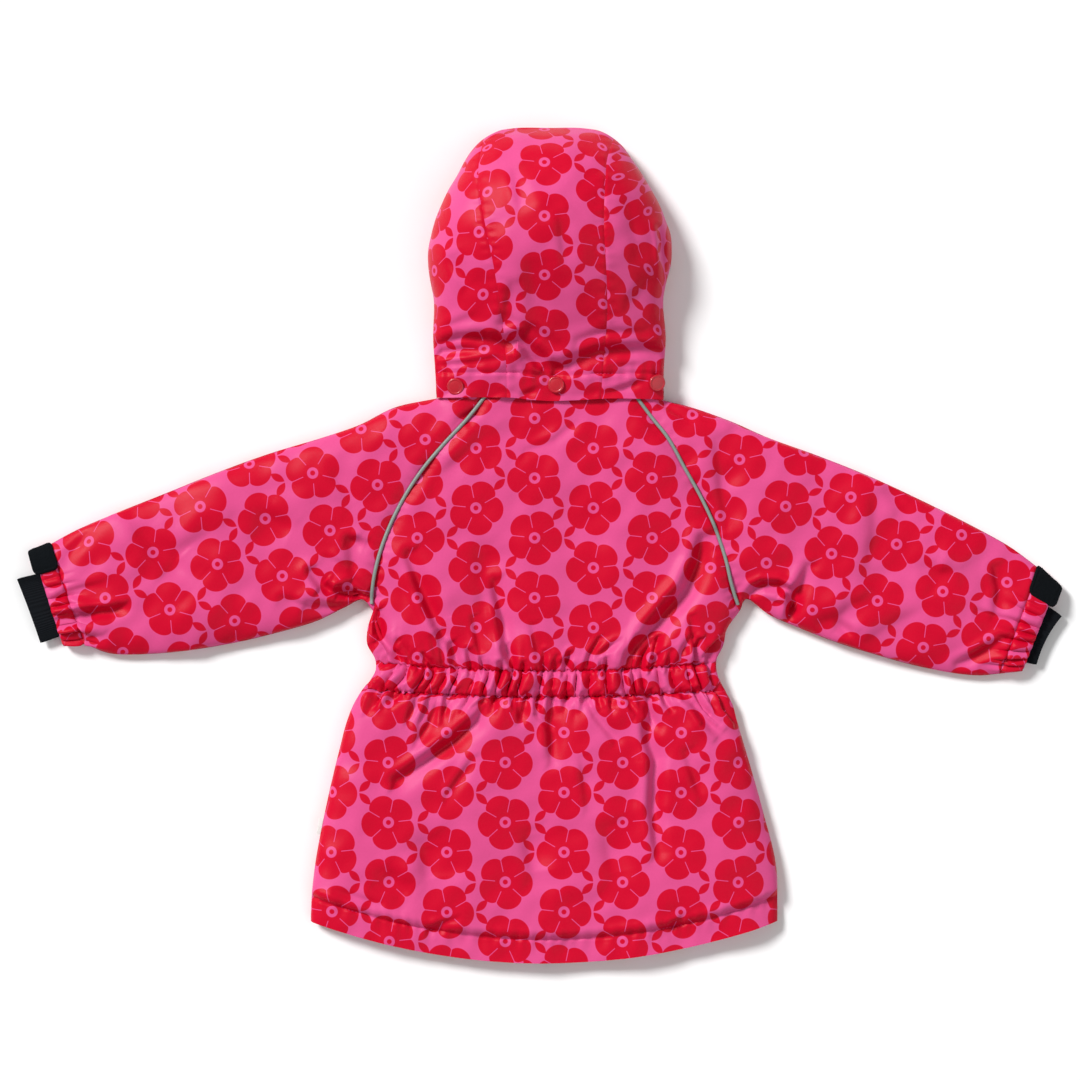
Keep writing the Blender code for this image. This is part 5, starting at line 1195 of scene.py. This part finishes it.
hood = {
    # y, x of the left side, x of the right side
    "sides": np.array([
        (130.0, -94.0, 115.0), (161.9, -95.7, 115.0), (189.5, -97.5, 116.8), (230.9, -97.5, 115.0),
        (244.7, -100.3, 117.8), (258.5, -102.1, 121.4), (272.3, -102.1, 122.4), (286.1, -99.4, 121.4),
        (299.9, -95.7, 116.8), (313.7, -90.2, 111.3), (327.5, -83.7, 104.0), (341.3, -75.4, 95.7),
        (355.1, -68.1, 86.5), (368.9, -58.0, 76.4), (375.4, -50.6, 69.0),
    ]),
    "brow": np.array([
        (-50.6, 375.4), (-44.2, 379.0), (-36.8, 382.7), (-26.0, 384.6), (10.0, 385.2), (44.0, 384.6),
        (55.2, 382.7),
        (63.5, 379.0), (69.0, 375.4),
    ]),
    # y, x of the centre strip's left seam, x of its right seam
    "seams": np.array([
        (136.0, -29.4, 57.0), (150.9, -29.6, 58.0), (180.8, -31.0, 60.3), (210.7, -34.0, 62.3),
        (250.7, -40.5, 61.3),
        (290.7, -48.5, 59.2), (330.3, -55.2, 60.3), (355.0, -54.5, 62.6), (375.4, -50.6, 69.0),
    ]),
    # y, height over the centre, exponent of the cross-section
    "heights": np.array([
        (136.0, 24.0, 3.4), (158.0, 31.0, 3.2), (185.0, 43.0, 2.8), (220.0, 59.0, 2.4), (270.0, 76.0, 2.1),
        (310.0, 76.0, 2.1), (345.0, 63.0, 2.1), (366.0, 47.0, 2.1), (378.0, 31.0, 2.1), (385.2, 14.0, 2.1),
    ]),
    "creases": [
        (6.5, 6.5, [(-97, 183), (-74, 190), (-51, 190), (-33, 186), (-18, 191), (-8, 180), (6, 168),
                    (18, 164)]),
        (5.5, 6.5, [(16, 163), (36, 171), (54, 178), (90, 181), (118, 179)]),
        (4.0, 5.0, [(-96, 172), (-88, 178), (-70, 180), (-54, 179)]),
        (3.0, 16.0, [(-4, 262), (-3, 212)]),
        (2.6, 7.0, [(-36, 196), (-30, 210), (-24, 236)]),
        (2.0, 10.0, [(84, 312), (92, 270)]),
        (4.5, 3.4, [(110, 292), (112, 281), (113, 266), (115, 253), (116, 242)]),
    ],
    "smallCreases": [
        (1.6, 3.5, [(-92, 166), (-66, 168), (-40, 172)]),
        (1.8, 3.5, [(-14, 177), (-4, 170), (10, 158)]),
        (1.6, 3.5, [(60, 139), (80, 146), (96, 152)]),
        (1.4, 3.5, [(-14, 139), (-2, 144)]),
        (1.4, 5.0, [(-28, 206), (-6, 198), (14, 184)]),
        (1.4, 5.0, [(36, 188), (60, 196), (92, 194)]),
        (1.2, 5.0, [(-90, 198), (-64, 208)]),
        (1.2, 6.0, [(-80, 262), (-64, 240)]),
        (1.2, 6.0, [(98, 240), (82, 222)]),
        (1.1, 6.0, [(20, 300), (24, 262)]),
        (1.0, 6.0, [(-22, 340), (-16, 310)]),
        (1.3, 5.0, [(70, 164), (96, 166)]),
    ],
    "wall": 3.2, "edgeZ": 14.0, "stitchAbove": 23.0, "tipY": 362.0, "browY": 375.4,
    "lowerEdge": np.array([
        (-94.0, 136.4), (-60.0, 136.6), (-28.0, 136.4), (9.0, 133.4), (33.0, 134.0), (65.0, 135.6),
        (115.0, 134.8),
    ]),
    "rows": 150, "centreColumns": 60, "sideColumns": 56, "printStart": (22.0, 8.0),
    "rightPrintShift": (30.0, 4.0),
}
collar = {"height": 46.0, "wall": 2.6, "bottom": 4.4, "top": 13.4, "sides": (-86.0, 107.0)}


def hoodCurve(which, column, y):
    return smooth(hood[which][:, 0], hood[which][:, column], y)


def hoodFrame(y):
    left, right = hoodCurve("sides", 1, y), hoodCurve("sides", 2, y)
    shrink = np.clip((y - hood["browY"]) / 9.8, 0.0, 1.0)
    half = (right - left) / 2 * (1 - 0.36 * shrink**2)
    return (left + right) / 2, half, hoodCurve("heights", 1, y), hoodCurve("heights", 2, y)


def coverHeight(x, y):
    body = backHeight(x, np.minimum(y, torso["neckY"]))[0]
    inside = (x > collar["sides"][0] - 1) & (x < collar["sides"][1] + 1)
    under = np.where((y > torso["neckY"] - 4) & inside, collar["top"], 0.0)
    return np.maximum(np.where(y < torso["neckY"] + 4, body, 0.0), under)


def lowerEdge(x):
    return np.stack([x, smooth(hood["lowerEdge"][:, 0], hood["lowerEdge"][:, 1], x)], axis=-1)


def hoodRelief(x, y):
    relief = 1.1 * softNoise(x, y, 70, 21) + 0.4 * softNoise(x, y, 27, 22)
    relief -= 1.5 * creaseDepth(hood["smallCreases"], x, y, 0.4)
    for column in (1, 2):
        gap = np.abs(x - hoodCurve("seams", column, y))
        pucker = np.sin(2 * math.pi * (y / 9.0 + 0.3 * np.sin(y / 15.0)))
        relief += 0.35 * pucker * bell(gap - 4.0, 4.5) - 0.8 * bell(gap, 1.2)
    fromStitch = y - lowerEdge(x)[..., 1] - hood["stitchAbove"]
    ripple = np.sin(2 * math.pi * (x / 11.0 + 0.35 * np.sin(x / 17.0)))
    relief += 0.5 * ripple * bell(fromStitch, 9.0) - 2.2 * bell(fromStitch, 1.5)
    return relief


def hoodHeight(x, y):
    middle, half, height, power = hoodFrame(y)
    side = np.clip((x - middle) / half, -1.0, 1.0)
    arch = (1 - np.abs(side) ** power) ** (1 / power)
    lowered = 1.1 * creaseDepth(hood["creases"], x, y, 0.35) * ease(arch * 1.6)
    dome = hood["edgeZ"] + (height - hood["edgeZ"]) * arch - lowered
    floor = coverHeight(x, y) + 0.9 + hood["wall"]
    made = np.where(y < 200, np.maximum(dome, floor), dome)
    return made + hoodRelief(x, y) * ease(arch * 2.0)


def hoodFaces(x, y):
    step = 1.0
    height = hoodHeight(x, y)
    slopeX = (hoodHeight(x + step, y) - hoodHeight(x - step, y)) / (2 * step)
    slopeY = (hoodHeight(x, y + step) - hoodHeight(x, y - step)) / (2 * step)
    outward = np.stack([-slopeX, -slopeY, np.ones(x.shape)], axis=-1)
    outward /= np.linalg.norm(outward, axis=-1)[..., None]
    outer = np.stack([x, y, height], axis=-1)
    inner = outer - outward * (hood["wall"] - 0.4)
    floor = coverHeight(inner[..., 0], inner[..., 1]) + 0.6
    inner[..., 2] = np.where(y < 200, np.maximum(inner[..., 2], floor), inner[..., 2])
    return outer, inner


def levelEdge(outer, inner, outward):
    outer[..., 2] = hood["edgeZ"]
    inner[...] = outer - np.concatenate((outward, np.zeros(outward.shape[:-1] + (1,))),
                                        axis=-1) * hood["wall"]


def outlineNormals(points, sign):
    tangent = tangentsAlong(points)
    return np.stack([-tangent[:, 1], tangent[:, 0]], axis=-1) * sign


def spanned(left, right, low, high):
    v = np.linspace(0, 1, len(left))[:, None, None]
    u = np.linspace(0, 1, len(low))[None, :, None]
    corners = low[0] * (1 - u) * (1 - v) + low[-1] * u * (1 - v) + high[0] * (1 - u) * v + high[-1] * u * v
    return left[:, None, :] * (1 - u) + right[:, None, :] * u + low[None] * (1 - v) + high[None] * v - corners


def hoodRowShares():
    t = np.linspace(0, 1, hood["rows"] + 1)
    return 0.35 * t + 0.65 * np.sin(t * math.pi / 2) ** 1.15


def hoodSeam(column):
    start = lowerEdge(hood["seams"][:1, column])[0, 1]
    heights = lerp(start, hood["browY"], hoodRowShares())
    return np.stack([hoodCurve("seams", column, heights), heights], axis=-1)


def hoodEdge(column, heights):
    return np.stack([hoodCurve("sides", column, heights), heights], axis=-1)


def hoodCut(outer, middle):
    upward = arcLengths(outer[:, middle])
    across = rowLengths(outer, middle) + outer[:, middle, 0][:, None]
    return np.stack([across, np.broadcast_to(upward[:, None], across.shape)], axis=-1) + hood["printStart"]


def makeHoodCentre():
    left, right = hoodSeam(1), hoodSeam(2)
    brow = along(hood["brow"], np.linspace(0, 1, hood["centreColumns"] + 1))
    brow[0], brow[-1] = left[-1], right[-1]
    grid = spanned(left, right, lowerEdge(np.linspace(left[0, 0], right[0, 0], hood["centreColumns"] + 1)),
                   brow)
    outer, inner = hoodFaces(grid[..., 0], grid[..., 1])
    levelEdge(outer[-1], inner[-1], outlineNormals(grid[-1], 1.0))
    for column in (0, -1):
        inner[-1, column] = outer[-1, column] - (0.0, hood["wall"], 0.0)
    sewnPiece("hoodCentre", outer, inner, hoodCut(outer, hood["centreColumns"] // 2), "hood_centre")


def makeHoodSide(side):
    column = sideColumn[side]
    startY = lowerEdge(hood["sides"][:1, column])[0, 1]
    edge = hoodEdge(column, lerp(startY, hood["tipY"], hoodRowShares()))
    columns = 1 - np.sin(np.linspace(1, 0, hood["sideColumns"]) * math.pi / 2)
    grid = panelGrid(edge, hoodSeam(column), columns)
    lowY = lowerEdge(grid[0, :, 0])[:, 1] - grid[0, :, 1]
    grid[..., 1] += lowY[None, :] * (1 - ease(hoodRowShares() * 4))[:, None]
    outer, inner = hoodFaces(grid[..., 0], grid[..., 1])
    sign = 1.0 if side == "left" else -1.0
    levelEdge(outer[1:, 0], inner[1:, 0], outlineNormals(edge, sign)[1:])
    levelEdge(outer[-1], inner[-1], outlineNormals(grid[-1], sign))
    inner[-1, -1] = outer[-1, -1] - (0.0, hood["wall"], 0.0)
    cut = hoodCut(outer, hood["sideColumns"] // 2)
    if side == "right":  # turned over at the seam
        cut[..., 0] = 2 * cut[:, -1:, 0] - cut[..., 0]
        cut += hood["rightPrintShift"]
    sewnPiece("hoodSide" + side.capitalize(), outer, inner, cut, "hood_side_" + side)


faceHem = {"startY": 142.5, "wall": 2.8, "chin": 48.0, "brow": 22.0, "steps": 260, "roll": 15.0}


def makeFaceHem():
    f = faceHem
    heights = np.linspace(f["startY"], hood["browY"], 30)
    left, right = hoodEdge(1, heights), hoodEdge(2, heights)
    path = along(np.concatenate((left, hood["brow"][1:-1], right[::-1])), np.linspace(0, 1, f["steps"] + 1))
    inward = outlineNormals(path, -1.0)
    share = np.abs(np.linspace(-1, 1, f["steps"] + 1))
    width = lerp(f["brow"], f["chin"], ease((share - 0.35) / 0.5))
    topZ = hood["edgeZ"] - 0.1
    outer, inner = [], []
    for turn in np.linspace(0, math.pi / 2, 13):
        outer.append((f["roll"] * (1 - math.cos(turn)), topZ * (1 - math.sin(turn))))
        inner.append((f["wall"] + (f["roll"] - f["wall"]) * (1 - math.cos(turn)),
                      f["wall"] + (topZ - f["wall"]) * (1 - math.sin(turn))))
    faces = []
    for which, section in (("outer", outer), ("inner", inner)):
        rows = []
        flatPart = [(t, section[-1][1]) for t in np.linspace(0, 1, 13)[1:]]
        for reach, z in section + flatPart:
            isFlat = (reach, z) in flatPart
            distance = lerp(f["roll"], width, reach) if isFlat else np.full(width.shape, reach)
            lift = 0.0
            if isFlat and which == "outer":  # the stitched fold of the hem's free edge
                lift = 0.9 * bell(width - distance - 3.0, 1.3) + 0.25 * np.maximum(0, np.sin(share * 210))
            plan = path + inward * distance[:, None]
            rows.append(np.concatenate((plan, (z + lift + np.zeros(len(path)))[:, None]), axis=1))
        faces.append(np.array(rows))
    reach = arcLengths(path)
    down = np.cumsum(np.linalg.norm(np.diff(faces[0], axis=0, prepend=faces[0][:1]), axis=2), axis=0)
    cut = np.stack(np.broadcast_arrays(reach[None, :], down), axis=-1)
    sewnPiece("hoodFaceHem", faces[0], faces[1], cut, "hood_face_hem")


def makeCollar():
    c = collar
    halfZ, (leftX, rightX) = (c["top"] - c["bottom"]) / 2, c["sides"]
    zipX, opening = fronts["zipX"], fronts["zipOpening"]
    faces = []
    for inset in (0.0, c["wall"]):
        radius, middleZ = halfZ - inset, c["bottom"] + halfZ
        turns = np.linspace(0, math.pi, 13)[1:-1]
        section = [(x, middleZ - radius) for x in np.linspace(zipX - opening, leftX + halfZ, 40)]
        section += [(leftX + halfZ - radius * math.sin(t), middleZ - radius * math.cos(t)) for t in turns]
        section += [(x, middleZ + radius) for x in np.linspace(leftX + halfZ, rightX - halfZ, 80)]
        section += [(rightX - halfZ + radius * math.sin(t), middleZ + radius * math.cos(t)) for t in turns]
        section += [(x, middleZ - radius) for x in np.linspace(rightX - halfZ, zipX + opening, 40)]
        section = np.array(section)
        if inset == 0.0:
            frontY = smooth(torso["neckline"][:, 0], torso["neckline"][:, 1], section[:, 0])
            backY = np.interp(section[:, 0], torso["backNeck"][:, 0], torso["backNeck"][:, 1])
            baseY = np.where(section[:, 1] < c["bottom"] + 0.1, frontY, backY) + 0.3
        rows = []
        for share in np.linspace(0, 1, 29):
            swell = 0.0 if inset else -0.8 * bell(share - 0.93, 0.03) - 0.7 * bell(share, 0.04)
            z = section[:, 1] + swell * np.sign(section[:, 1] - middleZ)
            rows.append(np.stack([section[:, 0], baseY + c["height"] * share, z], axis=-1))
        faces.append(np.array(rows))
    around = rowLengths(faces[0], faces[0].shape[1] // 2)
    cut = np.stack([around, np.broadcast_to((np.linspace(0, 1, 29) * c["height"])[:, None], around.shape)],
                   axis=-1)
    sewnPiece("standCollar", faces[0], faces[1], cut, "collar")


# ---- fastenings

snapCap = {
    "radius": 7.8, "seat": 0.6,
    "places": {"left": (-76.8, 146.8), "centre": (15.6, 148.3), "right": (108.3, 150.0)},
    # distance in from the rim, height: a raised ring round a shallow dome
    "profile": [(0.7, 0.0), (0.15, 0.25), (0.0, 0.8), (0.1, 1.3), (0.45, 1.75), (1.0, 2.0), (1.5, 2.0),
                (1.9, 1.85),
                (2.2, 1.7), (2.6, 1.7), (3.2, 1.85), (4.6, 2.0), (6.0, 2.08)],
    "top": 2.1,
}


def spun(profile, place, normal, steps=48):
    shell = bmesh.new()
    verts = [shell.verts.new((radius * metre, 0.0, z * metre)) for radius, z in profile]
    edges = [shell.edges.new(pair) for pair in zip(verts, verts[1:])]
    bmesh.ops.spin(shell, geom=verts + edges, axis=(0, 0, 1), cent=(0, 0, 0), steps=steps, angle=2 * math.pi,
                   use_merge=True)
    bmesh.ops.remove_doubles(shell, verts=shell.verts[:], dist=1e-6)
    bmesh.ops.recalc_face_normals(shell, faces=shell.faces[:])
    turn = Vector((0, 0, 1)).rotation_difference(Vector(normal)).to_matrix().to_4x4()
    spot = Vector(toModel(np.array(place)))
    bmesh.ops.transform(shell, matrix=Matrix.Translation(spot) @ turn, verts=shell.verts[:])
    return shell


def makeSnap(side):
    x, y = snapCap["places"][side]
    step, r = 4.0, snapCap["radius"]
    spots = np.array([(x, y), (x - step, y), (x + step, y), (x, y - step), (x, y + step)])
    heights = hoodHeight(spots[:, 0], spots[:, 1])
    normal = Vector((-(heights[2] - heights[1]) / (2 * step), -(heights[4] - heights[3]) / (2 * step),
                     1.0)).normalized()
    seat = Vector((x, y, heights[0])) + normal * snapCap["seat"]
    profile = [(0.0, 0.0)] + [(r - inset, z) for inset, z in snapCap["profile"]] + [(0.0, snapCap["top"])]
    shell = spun(profile, tuple(seat), normal)
    keepPiece("snapCap" + side.capitalize(), shell, "snap", "snap_" + side, sharp=35.0)


zipFit = {
    "x": 10.0, "length": (-377.0, 145.0), "tape": (6.2, 0.4, 0.8), "tapeZ": 7.7, "tapeRows": 260,
    "tapeColumns": 8,
    "teethZ": 5.2, "tooth": (2.3, 1.5, 2.0), "pitch": 2.5, "sliderY": 136.0,
    # plate, side walls, posts and bridge: low and high corner from the slider's place, bevel
    "slider": [
        ((-4.3, -6.5, 3.9), (4.3, 6.5, 4.9), 0.35), ((-4.3, -6.5, 4.6), (-3.1, 6.5, 7.2), 0.3),
        ((3.1, -6.5, 4.6), (4.3, 6.5, 7.2), 0.3), ((-0.8, -3.4, 1.2), (0.8, -2.2, 4.2), 0.25),
        ((-0.8, 2.2, 1.2), (0.8, 3.4, 4.2), 0.25), ((-0.8, -3.4, 1.2), (0.8, 3.4, 2.1), 0.3),
    ],
}


def boxInto(shell, low, high, bevel):
    low, high = toModel(np.array(low)), toModel(np.array(high))
    size = Matrix.Diagonal((*(high - low), 1.0))
    made = bmesh.ops.create_cube(shell, size=1.0, matrix=Matrix.Translation(Vector((low + high) / 2)) @ size)
    edges = list({e for v in made["verts"] for e in v.link_edges})
    bmesh.ops.bevel(shell, geom=edges, offset=bevel * metre, segments=2, affect="EDGES", profile=0.5,
                    material=-1)


def makeZipTape(side, sign):
    z = zipFit
    (low, high), (outer, inner, thick) = z["length"], z["tape"]
    reach = np.linspace(inner, outer, z["tapeColumns"] + 1)
    y, x = np.meshgrid(np.linspace(low, high, z["tapeRows"] + 1), z["x"] + sign * reach, indexing="ij")
    wave = 0.10 * np.sin(y / 2.9) * np.abs(x - z["x"] - sign * inner) / (outer - inner)
    below = np.stack([x, y, z["tapeZ"] + wave], axis=-1)
    sewnPiece("zipTape" + side.capitalize(), below, below + (0.0, 0.0, thick), below[..., :2],
              "zip_tape_" + side,
              "tape")


def makeZipTeeth():
    z = zipFit
    (low, high), (half, longSide, tall) = z["length"], z["tooth"]
    shell = bmesh.new()
    for index, y in enumerate(np.arange(low + 3, high - 4, z["pitch"])):
        sign = 1 if index % 2 else -1
        lowX, highX = sorted((z["x"] - sign * 0.7, z["x"] + sign * half))
        boxInto(shell, (lowX, y - longSide / 2, z["teethZ"]), (highX, y + longSide / 2, z["teethZ"] + tall),
                0.3)
    keepPiece("zipTeeth", shell, "teeth", "zip_teeth", sharp=40.0)


def makeZipSlider():
    shell = bmesh.new()
    place = np.array((zipFit["x"], zipFit["sliderY"], 0.0))
    for low, high, bevel in zipFit["slider"]:
        boxInto(shell, place + low, place + high, bevel)
    keepPiece("zipSlider", shell, "metal", "zip_slider", sharp=35.0)


def finishPull():
    # the CAD tab keeps its shape and gets the metal's finish
    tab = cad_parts["zip_pull"]
    for slot in tab.material_slots:
        slot.material = finishes["metal"]
    if not tab.material_slots:
        tab.data.materials.append(finishes["metal"])


sideLabel = {"y": -258.5, "out": 3.6, "wide": 15.0, "z": 10.4, "half": 0.42, "roll": 0.45, "tuckedIn": 0.3,
             "rows": 31}


def makeSideLabel():
    # a ribbon folded double, with both ends in the side seam
    s = sideLabel
    y = np.linspace(s["y"] - s["wide"] / 2, s["y"] + s["wide"] / 2, s["rows"])
    turn = np.linspace(-math.pi / 2, math.pi / 2, 15)[1:-1]
    straight = s["out"] - s["roll"]
    path = [(-straight * t, -s["half"]) for t in np.linspace(0, 1, 10)]
    path += [(-straight - s["half"] * math.cos(a), s["half"] * math.sin(a)) for a in turn]
    path += [(-straight * t, s["half"]) for t in np.linspace(1, 0, 10)]
    path = np.array(path)
    edge = sideAt(y, sideColumn["left"])[:, None] - s["tuckedIn"]
    height = s["z"] + 0.25 * np.sin(np.linspace(0, math.pi, s["rows"]))[:, None]
    alongSeam = np.broadcast_to(y[:, None], (s["rows"], len(path)))
    outer = np.stack([edge + path[:, 0], alongSeam, height + path[:, 1]], axis=-1)
    inner = np.stack([edge + path[:, 0] * 0.93, alongSeam, height + path[:, 1] * 0.45], axis=-1)
    cut = np.stack([rowLengths(outer, 0), alongSeam], axis=-1)
    sewnPiece("sideLabel", outer, inner, cut, "side_label", "ribbon")


makeUpperBack()
makeWaistBand()
makeLowerBack()
print("back made")
for side in ("left", "right"):
    makeFront(side)
    makeSleeve(side)
    makeCuffBand(side)
    makeRibCuff(side)
    makeCuffTab(side)
    makePiping(side)
print("fronts and sleeves made")
makeHoodCentre()
makeHoodSide("left")
makeHoodSide("right")
makeFaceHem()
makeCollar()
print("hood and collar made")
for side in ("left", "centre", "right"):
    makeSnap(side)
makeZipTape("left", -1)
makeZipTape("right", 1)
makeZipTeeth()
makeZipSlider()
finishPull()
makeSideLabel()
print("fastenings made")

hemX = np.linspace(-206, 216, 500)
hemY = seamLine("hem", hemX) + torso["hemBand"]
stitchRow("hemStitches", onBack(hemX, hemY, 0.15))
bandX = np.linspace(-92, 113, 260)
bandY = lowerEdge(bandX)[:, 1] + hood["stitchAbove"]
stitchRow("hoodStitches", np.stack([bandX, bandY, hoodHeight(bandX, bandY) + 0.15], axis=-1))
print("stitches made")

# ---- room

studio = {
    "floor": 6.0, "floorTone": 0.9, "sky": 0.33, "cameraHeight": 4.2, "frameWidth": 0.9936,
    "centre": (0.0001, 0.005),
    # towards the light, strength, angular size in degrees
    "lights": {"keyLight": ((-0.72, 0.62, 0.80), 3.45, 16.0), "fillLight": ((0.8, -0.4, 1.0), 0.6, 60.0)},
}


def makeStudio():
    shell = bmesh.new()
    bmesh.ops.create_grid(shell, x_segments=4, y_segments=4, size=studio["floor"] / 2)
    bmesh.ops.translate(shell, vec=(0, 0, -0.0004), verts=shell.verts[:])
    mesh = bpy.data.meshes.new("floor")
    shell.to_mesh(mesh)
    shell.free()
    floor = bpy.data.objects.new("floor", mesh)
    bpy.context.scene.collection.objects.link(floor)
    paper, tree, shader = newFinish("palePaper", 0.9)
    tone = studio["floorTone"]
    grain = noiseAt(tree, objectCoordinates(tree), 60.0)
    tree.links.new(mixColour(tree, grain, (tone, tone, tone, 1.0),
                             (tone * 1.01, tone * 1.01, tone * 1.01, 1.0)),
                   shader.inputs["Base Color"])
    mesh.materials.append(paper)
    world = bpy.data.worlds.new("studio")
    bpy.context.scene.world = world
    world.use_nodes = True
    world.node_tree.nodes["Background"].inputs["Color"].default_value = (1.0, 1.0, 1.0, 1.0)
    world.node_tree.nodes["Background"].inputs["Strength"].default_value = studio["sky"]
    for name, (towards, strength, spread) in studio["lights"].items():
        lamp = bpy.data.lights.new(name, "SUN")
        lamp.energy, lamp.angle = strength, math.radians(spread)
        item = bpy.data.objects.new(name, lamp)
        item.location = towards
        item.rotation_euler = (-Vector(towards)).to_track_quat("-Z", "Y").to_euler()
        bpy.context.scene.collection.objects.link(item)
    lens = bpy.data.cameras.new("camera")
    lens.sensor_width = 36.0
    lens.lens = lens.sensor_width * (studio["cameraHeight"] - 0.02) / studio["frameWidth"]
    camera = bpy.data.objects.new("camera", lens)
    camera.location = (*studio["centre"], studio["cameraHeight"])
    bpy.context.scene.collection.objects.link(camera)
    bpy.context.scene.camera = camera
    bpy.context.scene.view_settings.view_transform = "Standard"


makeStudio()
print("studio made")
